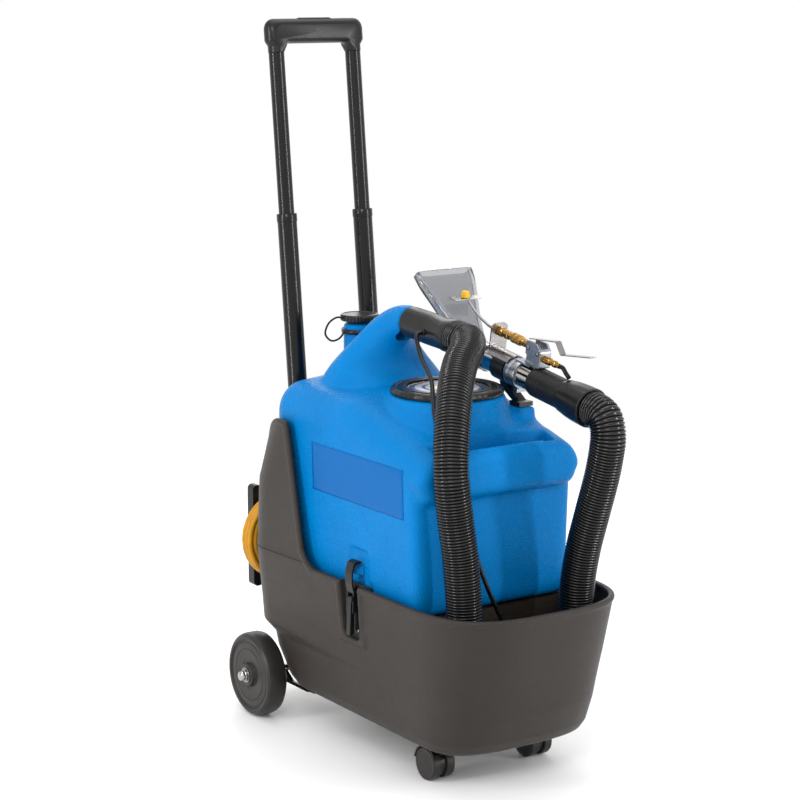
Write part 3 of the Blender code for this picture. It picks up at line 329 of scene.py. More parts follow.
# colour, roughness and, where it isn't SHEEN, the specular level
SMOOTH = {
    "black_plastic": ((0.006, 0.006, 0.006), 0.28),
    "hose_plastic": ((0.004, 0.004, 0.004), 0.18, 0.45),
    # painted shade: a darker, duller black for the faces in the hose's valleys
    "hose_groove": ((0.001, 0.001, 0.001), 0.6, 0.08),
    "line_plastic": ((0.004, 0.004, 0.004), 0.26),
    "tyre_rubber": ((0.018, 0.016, 0.015), 0.36),
    "grip_rubber": ((0.008, 0.008, 0.008), 0.42),
    "yellow_plastic": ((0.66, 0.38, 0.01), 0.34),
    "cord_jacket": ((0.44, 0.2, 0.003), 0.36),
    "switch_red": ((0.42, 0.02, 0.02), 0.32),
}
# colour, roughness, stretch of the lines and, where they differ, their scale and depth
METALS = {
    "zinc_steel": ((0.3, 0.29, 0.29), 0.24, (1.0, 0.15, 1.0)),
    "motor_housing": ((0.42, 0.42, 0.43), 0.45, (1.0, 1.0, 0.2)),
    "chrome_tube": ((0.46, 0.43, 0.41), 0.07, (1.0, 0.05, 1.0), 120.0, 0.00005),
    "cast_zinc": ((0.33, 0.35, 0.38), 0.32, (1.0, 1.0, 1.0), 420.0, 0.0005),
    "brass": ((0.46, 0.25, 0.06), 0.22, (1.0, 0.3, 1.0)),
}
# CAD nodes whose own shape is kept, by the material that they wear
CAD_LOOKS = {
    "black_plastic": ("float_cage", "solution_pump"),
    "yellow_plastic": ("float_ball", "power_plug"),
    "zinc_steel": ("rear_axle",),
    "handle_tube": ("axle_bracket",),
    "grip_rubber": ("strain_relief",),
    "switch_red": ("vacuum_switch", "pump_switch"),
    "tub_plastic": ("motor_deck",),
    "motor_housing": ("vacuum_motor",),
    "brass": ("line_coupler",),
}


def make_materials():
    mats = {
        "handle_tube": principled("handle_tube", (0.002, 0.002, 0.002), 0.2, Coat_Weight=0.15,
                                  Specular_IOR_Level=0.25, Coat_Roughness=0.06),
        "clear_plastic": clear_plastic("clear_plastic", (0.52, 0.53, 0.55), 0.05),
        "lid_sticker": label_disc(),
        "studio_floor": principled("studio_floor", (0.88, 0.88, 0.88), 0.6),
    }
    for make, table in ((moulded_plastic, MOULDED), (smooth_plastic, SMOOTH), (metal, METALS)):
        for name, values in table.items():
            mats[name] = make(name, *values)
    paint = mats["handle_tube"]
    vary_roughness(paint, noise(paint, 70.0, 4.0), 0.2, 0.32)
    bump(paint, noise(paint, 140.0, 2.0), 0.05, 0.0002)
    floor = mats["studio_floor"]
    vary_color(floor, noise(floor, 1.5), (0.87, 0.87, 0.87), (0.89, 0.89, 0.89))
    return mats


# ---- building blocks
def finish_mesh(name, bm, place):
    bmesh.ops.recalc_face_normals(bm, faces=bm.faces)
    bmesh.ops.transform(bm, matrix=place, verts=bm.verts)
    mesh = bpy.data.meshes.new(name)
    bm.to_mesh(mesh)
    bm.free()
    mesh.shade_smooth()
    obj = bpy.data.objects.new(name, mesh)
    scene.collection.objects.link(obj)
    return obj


def loft(name, rings, place=HERE, closed=False):
    """A skin over rings of equally many points; closed joins the last ring to the first."""
    bm = bmesh.new()
    loops = [[bm.verts.new(point) for point in ring] for ring in rings]
    pairs = list(zip(loops, loops[1:]))
    if closed:
        pairs.append((loops[-1], loops[0]))
    for low, high in pairs:
        count = len(low)
        for i in range(count):
            j = (i + 1) % count
            bm.faces.new((low[i], low[j], high[j], high[i]))
    if not closed:
        bm.faces.new(loops[0])
        bm.faces.new(loops[-1])
    return finish_mesh(name, bm, place)


def along(axis, a, b, height):
    """The point (a, b) of a flat outline, at a height along the named axis."""
    if axis == "X":
        return (height, a, b)
    if axis == "Y":
        return (a, height, b)
    return (a, b, height)


def prism(name, outline, axis, low, high, place=HERE):
    rings = [[along(axis, a, b, height) for a, b in outline] for height in (low, high)]
    return loft(name, rings, place)


def block(name, low, high, place=HERE):
    outline = ((low[0], low[1]), (high[0], low[1]), (high[0], high[1]), (low[0], high[1]))
    return prism(name, outline, "Z", low[2], high[2], place)


def circle(radius, steps=48, center=(0.0, 0.0)):
    turn = 2 * pi / steps
    return [(center[0] + radius * cos(turn * i), center[1] + radius * sin(turn * i)) for i in range(steps)]


def rounded(corners, steps=6):
    """A closed outline through corners (a, b, radius), each corner turned into an arc."""
    points = []
    for i, (a, b, radius) in enumerate(corners):
        here = Vector((a, b))
        if radius <= 0:
            points.append((a, b))
            continue
        back = (Vector(corners[i - 1][:2]) - here).normalized()
        on = (Vector(corners[(i + 1) % len(corners)][:2]) - here).normalized()
        half = back.angle(on) / 2
        if half > pi / 2 - 0.001:
            points.append((a, b))
            continue
        reach = radius / tan(half)
        start, end = here + back * reach, here + on * reach
        center = here + (back + on).normalized() * (radius / sin(half))
        for k in range(steps + 1):
            arm = (start - center).slerp(end - center, k / steps).normalized()
            points.append(tuple(center + arm * radius))
    return points


def turned(name, profile, axis, place=HERE, steps=64, ribs=0, rib_depth=0.0):
    """A turned piece. The profile's (radius, height) points start and end on the axis for a
    solid piece, and run round a closed loop for a hollow one. Ribs wave the widest parts."""
    hollow = profile[0][0] > 0 or profile[-1][0] > 0
    widest = max(radius for radius, _ in profile)
    bm = bmesh.new()
    rings = []
    for radius, height in profile:
        if radius == 0:
            rings.append([bm.verts.new(along(axis, 0, 0, height))])
            continue
        ring = []
        for i in range(steps):
            a = 2 * pi * i / steps
            wave = rib_depth * (0.5 - 0.5 * cos(a * ribs)) if radius > widest * 0.97 else 0.0
            ring.append(bm.verts.new(along(axis, (radius - wave) * cos(a), (radius - wave) * sin(a),
                height)))
        rings.append(ring)
    pairs = list(zip(rings, rings[1:]))
    if hollow:
        pairs.append((rings[-1], rings[0]))
    for low, high in pairs:
        for i in range(steps):
            j = (i + 1) % steps
            corner = [low[i % len(low)], low[j % len(low)], high[j % len(high)], high[i % len(high)]]
            face = list(dict.fromkeys(corner))
            if len(face) > 2:
                bm.faces.new(face)
    return finish_mesh(name, bm, place)


def cylinder(name, inner, outer, low, high, axis, place=HERE, steps=48):
    """A straight tube, or a rod where the inner radius is 0."""
    return turned(name, [(inner, low), (outer, low), (outer, high), (inner, high)], axis, place, steps)


def crescent(outer, inner, start, sweep, steps, shift_by=0.0):
    """The outline of a curved strip between two radii, over angles in degrees."""
    arc = [radians(start + sweep * i / steps) for i in range(steps + 1)]
    return ([(outer * cos(a) + shift_by, outer * sin(a)) for a in arc]
        + [(inner * cos(a) + shift_by, inner * sin(a)) for a in reversed(arc)])


def sided(profile, side):
    """A (radius, distance) profile, turned to the given side of the middle."""
    return [(radius, side * distance) for radius, distance in profile]


def span(side, near, far):
    """Two distances from the middle as places on one side of it, the lower first."""
    return sorted((side * near, side * far))


def soften(obj, width, segments=3, angle=28.0):
    """Rounds every edge that turns by more than the angle."""
    step = obj.modifiers.new("soften", "BEVEL")
    step.width = width
    step.segments = segments
    step.limit_method = "ANGLE"
    step.angle_limit = radians(angle)
    step.harden_normals = True
    step.miter_outer = "MITER_ARC"
    return obj


def boolean(target, tool, operation):
    step = target.modifiers.new(operation.lower(), "BOOLEAN")
    step.object = tool
    step.operation = operation
    step.solver = "EXACT"


def join(target, *tools):
    for tool in tools:
        boolean(target, tool, "UNION")


def cut(target, *tools):
    for tool in tools:
        boolean(target, tool, "DIFFERENCE")


def freeze(obj):
    """Applies the modifiers and drops the boolean tools that they used."""
    tools = [step.object for step in obj.modifiers if step.type == "BOOLEAN"]
    graph = bpy.context.evaluated_depsgraph_get()
    mesh = bpy.data.meshes.new_from_object(obj.evaluated_get(graph))
    obj.modifiers.clear()
    obj.data = mesh
    for tool in tools:
        bpy.data.objects.remove(tool)
    mesh.shade_smooth()
    return obj


def mould(obj, voxel, rounds):
    """Fuses and rounds a shape the way a rotational mould does."""
    remesh = obj.modifiers.new("fuse", "REMESH")
    remesh.mode = "VOXEL"
    remesh.voxel_size = voxel
    smooth = obj.modifiers.new("round", "SMOOTH")
    smooth.factor = 0.5
    smooth.iterations = rounds
    return freeze(obj)


def blend(a, b, c, d, t):
    """A smooth curve's place at t on its way from b to c, for numbers or for points."""
    return 0.5 * (2 * b + (c - a) * t + (2 * a - 5 * b + 4 * c - d) * t * t
        + (3 * b - a - 3 * c + d) * t ** 3)


def curve_through(points, spacing):
    """Points about one spacing apart on a smooth curve through the given points."""
    route = [Vector(point) for point in points]
    padded = [route[0] * 2 - route[1]] + route + [route[-1] * 2 - route[-2]]
    fine = []
    for i in range(1, len(padded) - 2):
        fine += [blend(*padded[i - 1:i + 3], k / 16) for k in range(16)]
    fine.append(route[-1])
    total = sum((q - p).length for p, q in zip(fine, fine[1:]))
    count = max(2, round(total / spacing))
    result, walked, goal = [fine[0]], 0.0, total / count
    for p, q in zip(fine, fine[1:]):
        step = (q - p).length
        while walked + step >= goal * len(result) and len(result) < count:
            result.append(p.lerp(q, (goal * len(result) - walked) / step))
        walked += step
    result.append(fine[-1])
    return result


def route_length(points):
    return sum((q - p).length for p, q in zip(points, points[1:]))


def swept(name, points, radii, sides, place=HERE, closed=False):
    """A round skin along a list of points, with one radius for each point."""
    rings = []
    side = Vector((0.12, 0.31, 1)).normalized()
    last = len(points) - 1
    for i, point in enumerate(points):
        on = (points[min(i + 1, last)] - points[max(i - 1, 0)]).normalized()
        side = (side - on * side.dot(on)).normalized()
        across = on.cross(side)
        rings.append([point + side * a + across * b for a, b in circle(radii[i], sides)])
    return loft(name, rings, place, closed)


def tube(name, points, radius, place=HERE):
    """A round tube with filled ends, as a curve with one open spline."""
    curve = bpy.data.curves.new(name, "CURVE")
    curve.dimensions = "3D"
    curve.bevel_depth = radius
    curve.bevel_resolution = 5
    curve.use_fill_caps = True
    spline = curve.splines.new("POLY")
    spline.points.add(len(points) - 1)
    for slot, point in zip(spline.points, points):
        slot.co = (*(place @ Vector(point)), 1.0)
    spline.use_smooth = True
    obj = bpy.data.objects.new(name, curve)
    scene.collection.objects.link(obj)
    return obj


def adopt(obj, body, slot, *cad_nodes, look=None):
    """Gives the piece its look, rides it on its body, and hides the CAD nodes that it stands in for."""
    obj.data.materials.clear()
    obj.data.materials.append(LOOKS[look or slot])
    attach(obj, body)
    if cad_nodes:
        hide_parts(*cad_nodes)
    return obj


def dress_cad_nodes():
    """Gives CAD nodes whose shape already is right a detailed material."""
    for look, names in CAD_LOOKS.items():
        for name in names:
            mesh = nodes[name].data
            mesh.materials.clear()
            mesh.materials.append(LOOKS[look])


# ---- hose, lines and power cord
HOSE_PITCH = 0.0046
HOSE_RIB = 0.0028
HOSE_SIDES = 40


def make_hose():
    """The corrugated hose: one rounded rib after another along its route, with painted shade: the valley
    faces wear a darker, duller black.
    """
    length = route_length(curve_through(HOSE_ROUTE, 0.01))
    ribs = round(length / HOSE_PITCH)
    per_rib = 6
    points = curve_through(HOSE_ROUTE, length / (ribs * per_rib))
    radii = []
    for i in range(len(points)):
        swell = abs(sin(pi * i / per_rib))
        radii.append(HOSE_D / 2 - HOSE_RIB + HOSE_RIB * swell ** 0.8)
    hose = swept("corrugated_hose", points, radii, HOSE_SIDES)
    adopt(hose, MACHINE, "hose_plastic", "vacuum_hose")
    # painted shade: faces that lie below the rib's middle radius get the darker, duller black
    hose.data.materials.append(LOOKS["hose_groove"])
    middle = HOSE_D / 2 - HOSE_RIB * 0.45
    for face in hose.data.polygons:
        ring = min(face.vertices) // HOSE_SIDES
        deep = min(radii[ring], radii[min(ring + 1, len(radii) - 1)])
        face.material_index = 1 if deep < middle else 0


def make_line():
    points = curve_through(LINE_ROUTE, 0.006)
    line = tube("solution_tubing", points, LINE_D / 2)
    adopt(line, MACHINE, "line_plastic", "solution_line")


def coil_points():
    """The wound cord: layer inside layer, turns side by side. On each bottom run it first
    steps one turn sideways and then, at a layer's end, one layer inward."""
    turns = []
    for layer in range(4):
        columns = (2, 1, 0) if layer % 2 == 0 else (0, 1, 2)
        turns += [(COIL_TOP_R - CORD_D * layer, COIL_LOW_Y + CORD_D * column) for column in columns]
    points = []
    steps = 14
    for (radius, y), (next_radius, next_y) in zip(turns, turns[1:] + turns[-1:]):
        for s in (1, -1):
            for i in range(steps + 1):
                a = pi * (i / steps - 0.5)
                points.append((s * (COIL_HALF + radius * cos(a)), y, COIL_Z + s * radius * sin(a)))
        for i in range(1, 8):
            t = i / 8
            sideways = min(1.0, t * 2)
            inward = max(0.0, t * 2 - 1)
            points.append((COIL_HALF * (2 * t - 1), y + (next_y - y) * sideways,
                COIL_Z - radius - (next_radius - radius) * inward))
    return points[1:-7]


def make_power_cord():
    tail = [(-0.058, 0.314, 0.24), (-0.04, 0.3095, 0.2462), (-0.0235, 0.308, 0.2486)]
    lead = [tuple(point) for point in curve_through(LEAD_ROUTE, 0.012)]
    points = [Vector(point) for point in lead + coil_points() + tail]
    cord = tube("power_cord", points, CORD_D / 2)
    adopt(cord, MACHINE, "cord_jacket", "power_cord_coil", "power_cord_lead")


# ---- the tub
# height, half-width where the bow starts, half-width between the wheels, front, rear and
# rear corner radius of the tub's outside
TUB_LEVELS = (
    (0.06, 0.128, 0.126, -0.268, 0.19, 0.05), (0.066, 0.138, 0.135, -0.28, 0.203, 0.06),
    (0.08, 0.144, 0.14, -0.29, 0.222, 0.062), (0.12, 0.149, 0.1412, -0.305, 0.262, 0.07),
    (0.1445, 0.151, 0.144, -0.311, 0.268, 0.072), (0.1625, 0.153, 0.156, -0.315, 0.286, 0.075),
    (0.195, 0.157, 0.156, -0.323, 0.292, 0.077),
    (RIM_Z, 0.165, 0.165, FRONT, 0.293, 0.078), (0.4, 0.166, 0.166, FRONT, 0.287, 0.085),
    (WING_Z, 0.166, 0.166, FRONT, 0.255, 0.105),
)


WING_FRONT = rounded([(-0.5, RIM_Z, 0), (0.097, RIM_Z, 0.045), (0.1445, WING_Z + 0.0006, 0)], 10)
WING_BACK = [(0.157 + 0.098 * sin(radians(a)), 0.4 + 0.1095 * cos(radians(a))) for a in range(0, 91, 6)]
TUB_VOXEL = 0.0024
BEAD_R = 0.0054
BEAD_INSET = 0.0034


def tub_level(z):
    for low, high in zip(TUB_LEVELS, TUB_LEVELS[1:]):
        if z <= high[0]:
            t = max(0.0, (z - low[0]) / (high[0] - low[0]))
            return [a + (b - a) * t for a, b in zip(low[1:], high[1:])]
    return list(TUB_LEVELS[-1][1:])


def tub_outline(z, inset=0.0, arc=12, bow=72):
    """The tub's outline at height z: round rear corners and a bowed front."""
    half, tuck, front, rear, corner = tub_level(z)
    half, tuck, front = half - inset, tuck - inset, front + inset
    rear, corner = rear - inset, corner - inset
    points = []
    for i in range(arc + 1):
        a = pi / 2 * (1 - i / arc)
        points.append((tuck - corner + corner * cos(a), rear - corner + corner * sin(a)))
    for i in range(bow + 1):
        a = pi * i / bow
        x = half * copysign(abs(cos(a)) ** (2 / BOW_POWER), cos(a))
        y = BOW_START + (front - BOW_START) * max(0.0, sin(a)) ** (2 / BOW_POWER)
        points.append((x, y))
    for i in range(arc + 1):
        a = pi - pi / 2 * i / arc
        points.append((corner - tuck + corner * cos(a), rear - corner + corner * sin(a)))
    return points


def side_x(y, z, inset=0.0):
    """How far out the tub's side is at y and z, behind the start of the bow."""
    half, tuck, _, rear, corner = tub_level(z)
    turn = rear - corner
    if y > turn:
        return tuck - corner + sqrt(max(0.0, (corner - inset) ** 2 - (y - turn) ** 2))
    return half + (tuck - half) * (y - BOW_START) / (turn - BOW_START) - inset


def rim_bead():
    """The rolled bead's closed path: across the back, up each wing's edge and round the bow."""
    back_z = WING_BACK[-1][1] - 0.003
    slope = [point for point in WING_FRONT if point[0] > 0 and point[1] < RIM_Z + 0.15]
    sides = slope + [(0.142, 0.494), (0.1505, 0.5075)] + WING_BACK[1:]
    bow = [(x, y, RIM_Z - 0.003) for x, y in tub_outline(RIM_Z, BEAD_INSET) if y < 0]
    back = [(x, y, back_z) for x, y in tub_outline(back_z, BEAD_INSET) if y > WING_BACK[-1][0] + 0.004]
    half = len(back) // 2
    left = [(-side_x(y, z, BEAD_INSET), y, z - 0.003) for y, z in sides]
    right = [(-x, y, z) for x, y, z in reversed(left)]
    path = back[:half] + right + bow + left + back[half:] + back[:1]
    return curve_through(path, 0.006)[:-1]


def add_surface(obj, *extras):
    """Puts the extras' faces into an object that's about to be fused by mould()."""
    bm = bmesh.new()
    for piece in (obj, *extras):
        bm.from_mesh(piece.data)
    bm.to_mesh(obj.data)
    bm.free()
    for piece in extras:
        bpy.data.objects.remove(piece)


def recess_cutter(side, s):
    recess = rounded([(LATCH_Y - 0.022, 0.199, 0.008), (LATCH_Y + 0.022, 0.199, 0.008),
        (LATCH_Y + 0.03, 0.4, 0), (LATCH_Y - 0.03, 0.4, 0)])
    return prism(f"recess_{side}", recess, "X", *span(s, 0.1505, 0.22))


def tub_details():
    """The rolled rim, and the lip round each latch recess."""
    path = rim_bead()
    bead = swept("rim_bead", path, [BEAD_R] * len(path), 16, closed=True)
    cut(bead, *[recess_cutter(side, s) for side, s in SIDES])
    pieces = [freeze(bead)]
    for side, s in SIDES:
        lip = []
        for y, z in rounded([(LATCH_Y - 0.0315, RIM_Z - 0.004, 0), (LATCH_Y - 0.0266, 0.1935, 0.01),
                (LATCH_Y + 0.0266, 0.1935, 0.01), (LATCH_Y + 0.0315, RIM_Z - 0.004, 0)]):
            lip.append((s * (side_x(y, z) - 0.0008), y, z))
        lip = curve_through(lip, 0.005)
        pieces.append(swept(f"recess_lip_{side}", lip, [0.0044] * len(lip), 14))
    return pieces


def make_tub():
    outer_z = [row[0] for row in TUB_LEVELS]
    inner_z = [FLOOR_Z + WALL + 0.001] + outer_z[2:-1] + [WING_Z + 0.03]
    tub = loft("tub_shell", [[(x, y, z) for x, y in tub_outline(z)] for z in outer_z])
    cut(tub, loft("tub_cavity", [[(x, y, z) for x, y in tub_outline(z, WALL)] for z in inner_z]))
    for side, s in SIDES:
        low_x, high_x = span(s, 0.1425, 0.16)
        join(tub, block(f"boss_{side}", (low_x, LATCH_Y - 0.036, 0.19),
            (high_x, LATCH_Y + 0.036, RIM_Z + 0.01)))
    cut(tub, prism("rim_cutter", WING_FRONT + [(0.1445, 0.7), (-0.5, 0.7)], "X", -0.3, 0.3),
        prism("rear_slope", [(0.157, 0.7)] + WING_BACK + [(0.5, 0.4), (0.5, 0.7)], "X", -0.3, 0.3))
    cut(tub, *[recess_cutter(side, s) for side, s in SIDES])
    for x in SWITCH_X:
        cut(tub, block(f"switch_hole_{x:.3f}", (x - SWITCH_HALF_WIDE, 0.25, SWITCH_Z - SWITCH_HALF_HIGH),
            (x + SWITCH_HALF_WIDE, 0.35, SWITCH_Z + SWITCH_HALF_HIGH)))
    cut(tub, prism("relief_hole", circle(0.0085, 32, (RELIEF_X, RELIEF_Z)), "Y", 0.2, 0.35))
    add_surface(freeze(tub), *tub_details())
    mould(tub, TUB_VOXEL, 5)
    adopt(tub, MACHINE, "tub_plastic", "base_tub")
    for side, s in SIDES:
        seam = [(s * (side_x(y, z) + 0.0002), y, z) for y, z in ((0.088 + 0.012 * i, 0.2905 - 0.0003 * i)
            for i in range(15))]
        seam = curve_through(seam, 0.004)
        adopt(swept(f"wing_seam_{side}", seam, [0.0007] * len(seam), 8), MACHINE, "tub_plastic")


# ---- the tank
TANK_VOXEL = 0.0036
TANK_FINE_VOXEL = 0.0026
# y, inset of the rounded ends, height of the shoulders
TANK_STATIONS = (
    (-0.193, 0.02, 0.512), (-0.19, 0.008, 0.508), (-0.182, 0.001, 0.51), (-0.172, 0.0, 0.514),
    (-0.115, 0.0, 0.533), (-0.04, 0.0, 0.555), (0.01, 0.0, 0.564), (0.18, 0.0, 0.566),
    (0.196, 0.004, 0.566), (0.204, 0.012, 0.56), (0.207, 0.024, 0.556),
)
# centre y and z, tilt, half-width, half-depth of the suction duct's sections
DUCT_STATIONS = (
    (DUCT_Y, DUCT_Z, -4.3, 0.0255, 0.0255), (0.06, 0.664, 18, 0.028, 0.028),
    (0.088, 0.644, 42, 0.04, 0.035), (0.107, 0.61, 68, 0.072, 0.046),
    (0.113, 0.578, 84, 0.098, 0.074), (0.115, 0.545, 90, 0.118, 0.086),
)


def tank_section(y, half, low, top, inset=0.0, arc=10):
    """Cross-section of the tank at y: round lower corners, generous shoulders, crowned top."""
    half, low, top = half - inset, low + inset, top - inset
    foot = half - 0.006
    round_low = min(0.018, (top - low) * 0.3)
    round_top = min(SHOULDER, (top - low) * 0.6)
    points = []
    for i in range(arc + 1):
        a = pi / 2 * i / arc
        points.append((foot - round_low + round_low * sin(a), low + round_low * (1 - cos(a))))
    for i in range(arc + 2):
        a = pi / 2 * i / (arc + 1)
        points.append((half - round_top * (1 - cos(a)), top - round_top * (1 - sin(a))))
    points.append((half * 0.35, top + 0.005))
    return [(x, y, z) for x, z in points] + [(-x, y, z) for x, z in reversed(points)]


def tank_body(name, inset):
    def shifted(y):
        return y if abs(y) < 0.17 else copysign(abs(y) - inset, y)

    return loft(name, [tank_section(shifted(y), TANK_HALF - end, TANK_LOW + end, top - end * 0.9, inset)
        for y, end, top in TANK_STATIONS])


def tank_duct():
    rings = []
    for y, z, tilt, wide, deep in curve_through_rows(DUCT_STATIONS, 4):
        a = radians(tilt)
        turn = [2 * pi * i / 48 for i in range(48)]
        rings.append([(wide * cos(t), y + deep * sin(t) * sin(a), z + deep * sin(t) * cos(a))
            for t in turn])
    return loft("tank_duct", rings)


def tank_openings():
    """The inside of the tank, the lid's bore and the duct's throat."""
    cavity = tank_body("tank_cavity", TANK_SHELL + 0.001)
    cut(cavity, block("scoop_floor", (-0.119, -0.25, 0.47), (0.119, -0.156, 0.6)))
    bore = cylinder("lid_bore", 0, 0.064, 0.5, 0.6, "Z", shift(LID_AT.x, LID_AT.y, 0), 60)
    throat = cylinder("duct_bore", 0, 0.019, -0.075, -0.02, "Y", shift(0, 0.1, 0.653), 40)
    return freeze(cavity), bore, throat


def make_tank():
    tank = tank_body("tank_shell", 0.0)
    nose = loft("tank_nose", [tank_section(y, TANK_HALF + 0.0008 - end, 0.437 + end, top - end) for y, end,
        top in ((-0.2135, 0.013, 0.503), (-0.208, 0.004, 0.505), (-0.2, 0.0, 0.507),
        (-0.15, 0.0, 0.5225))])
    neck = turned("tank_neck", [(0, 0.54), (0.034, 0.54), (0.029, 0.575), (0.0265, 0.585),
        (0.0265, 0.6475), (0.0235, 0.65), (0, 0.65)], "Z", shift(0, NECK_Y, 0), 48)
    seat = turned("lid_seat", [(0, 0.53), (0.104, 0.53), (0.091, 0.564), (0.0885, 0.5715), (0, 0.5715)],
        "Z", shift(LID_AT.x, LID_AT.y, 0), 64)
    join(tank, nose, tank_duct(), neck, seat, block("wand_pad", (0.097, -0.124, 0.51),
        (0.129, -0.088, 0.5455)))
    mould(tank, TANK_VOXEL, 8)

    scoop = rounded([(-0.197, 0.488, 0.009), (-0.169, 0.488, 0.009), (-0.163, 0.56, 0), (-0.199, 0.56, 0)])
    ends = rounded([(-0.105, 0.482, 0.014), (0.105, 0.482, 0.014), (0.112, 0.56, 0), (-0.112, 0.56, 0)])
    groove = prism("grip_scoop", scoop, "X", -0.13, 0.13)
    keep = groove.modifiers.new("ends", "BOOLEAN")
    keep.object = prism("scoop_ends", ends, "Y", -0.25, -0.12)
    keep.operation = "INTERSECT"
    cut(tank, freeze(groove))
    for side, s in SIDES:
        niche = rounded([(LATCH_Y - 0.0375, 0.2, 0), (LATCH_Y + 0.0375, 0.2, 0),
            (LATCH_Y + 0.0375, 0.2885, 0), (LATCH_Y + 0.028, 0.291, 0), (LATCH_Y + 0.026, 0.34, 0.006),
            (LATCH_Y - 0.026, 0.34, 0.006), (LATCH_Y - 0.028, 0.291, 0), (LATCH_Y - 0.0375, 0.2885, 0)])
        cut(tank, prism(f"latch_niche_{side}", niche, "X", *span(s, 0.1412, 0.2)))
    mould(tank, TANK_FINE_VOXEL, 4)
    cut(tank, *tank_openings())
    for side, s in SIDES:
        rib = [(s * 0.14, 0.296), (s * 0.152, 0.3), (s * 0.152, 0.3055), (s * 0.14, 0.3165)]
        join(tank, prism(f"latch_rib_{side}", rib, "Y", LATCH_Y - 0.007, LATCH_Y + 0.007))
    freeze(tank)
    adopt(tank, MACHINE, "tank_plastic", "tank")
    make_label(tank.data)


def curve_through_rows(rows, steps):
    """More rows between the given ones, on a smooth curve through them."""
    padded = [rows[0]] + list(rows) + [rows[-1]]
    result = []
    for i in range(1, len(padded) - 2):
        for k in range(steps):
            result.append([blend(*four, k / steps) for four in zip(*padded[i - 1:i + 3])])
    result.append(list(rows[-1]))
    return result


LABEL_Y = -0.165
LABEL_Z = 0.409
LABEL_LONG = 0.255
LABEL_HIGH = 0.076


def make_label(tank):
    """A plain film of darker blue on the tank's left side, in place of a printed name."""
    skin = BVHTree.FromPolygons([v.co for v in tank.vertices], [p.vertices for p in tank.polygons])
    bm = bmesh.new()
    bmesh.ops.create_grid(bm, x_segments=64, y_segments=20, size=0.5)
    for vert in bm.verts:
        y = LABEL_Y + LABEL_LONG * (vert.co.x + 0.5)
        z = LABEL_Z + LABEL_HIGH * (vert.co.y + 0.5)
        hit = skin.ray_cast(Vector((-0.3, y, z)), Vector((1, 0, 0)))[0]
        vert.co = hit + Vector((-0.0003, 0, 0))
    film = finish_mesh("tank_label", bm, HERE)
    step = film.modifiers.new("film", "SOLIDIFY")
    step.thickness = 0.0004
    step.offset = 0
    adopt(freeze(film), MACHINE, "tank_plastic", look="tank_label")


def make_tank_fittings():
    x, y, z = LID_AT
    lid = shift(x, y, z)
    ring = turned("lid_collar", [(0.0655, 0.0), (LID_R, 0.0), (LID_R + 0.001, 0.0035),
        (LID_R - 0.001, 0.008), (0.083, 0.01), (0.0795, 0.01), (0.0785, 0.0088), (0.0705, 0.0088),
        (0.0695, 0.0102), (0.0655, 0.0102)], "Z", lid, 144, 36, 0.0008)
    adopt(soften(ring, 0.0007), "lid", "black_plastic", "lid_ring")
    window = turned("lid_glass", [(0, 0.0006), (0.0648, 0.0006), (0.0648, 0.0068), (0.061, 0.0076),
        (0.06, 0.007), (0.0575, 0.007), (0, 0.007)], "Z", lid, 96)
    adopt(soften(window, 0.0004), MACHINE, "clear_plastic", "lid_window")
    sticker = turned("lid_sticker", [(0, 0.0071), (0.0555, 0.0071), (0.0555, 0.0075), (0, 0.0086)], "Z",
        lid, 96)
    adopt(sticker, MACHINE, "clear_plastic", look="lid_sticker")

    cuff = turned("suction_cuff", [(0.0185, -0.001), (0.0235, -0.001), (0.0248, -0.003),
        (0.0252, -0.06), (0.025, -0.1), (0.0262, -0.104), (0.0262, -0.1185), (0.0255, -0.119),
        (0.0185, -0.119)], "Y", DUCT, 96)
    adopt(soften(cuff, 0.0008), MACHINE, "black_plastic", "duct_cuff")
    nipple = turned("line_nipple", [(0, 0.0), (0.0052, 0.0), (0.0052, 0.0016), (0.0042, 0.003),
        (0, 0.003)], "X", shift(-0.0272, -0.037, 0.6637), 32)
    adopt(nipple, MACHINE, "black_plastic")

    cap = turned("filler_lid", [(0, 0.0), (0.023, 0.0), (0.0305, 0.002), (0.0315, 0.004),
        (0.0315, 0.01), (0.03, 0.0122), (0.027, 0.0128), (0.0255, 0.0118), (0, 0.0128)], "Z",
        shift(0, NECK_Y, 0.6512), 144, 36, 0.001)
    adopt(soften(cap, 0.0005), "cap", "black_plastic", "filler_cap")
    neck = shift(0, NECK_Y, 0)
    band = cylinder("tether_band", 0.0269, 0.0298, 0.633, 0.64, "Z", neck, 64)
    loop = curve_through([(-0.029, 0, 0.6365), (-0.04, 0, 0.626), (-0.055, 0, 0.624),
        (-0.066, 0, 0.636), (-0.06, 0, 0.652), (-0.046, 0, 0.6605), (-0.0325, 0, 0.66)], 0.0025)
    strap = swept("tether_strap", loop, [0.0016] * len(loop), 12, neck)
    join(band, strap)
    adopt(freeze(band), MACHINE, "black_plastic", "cap_tether")


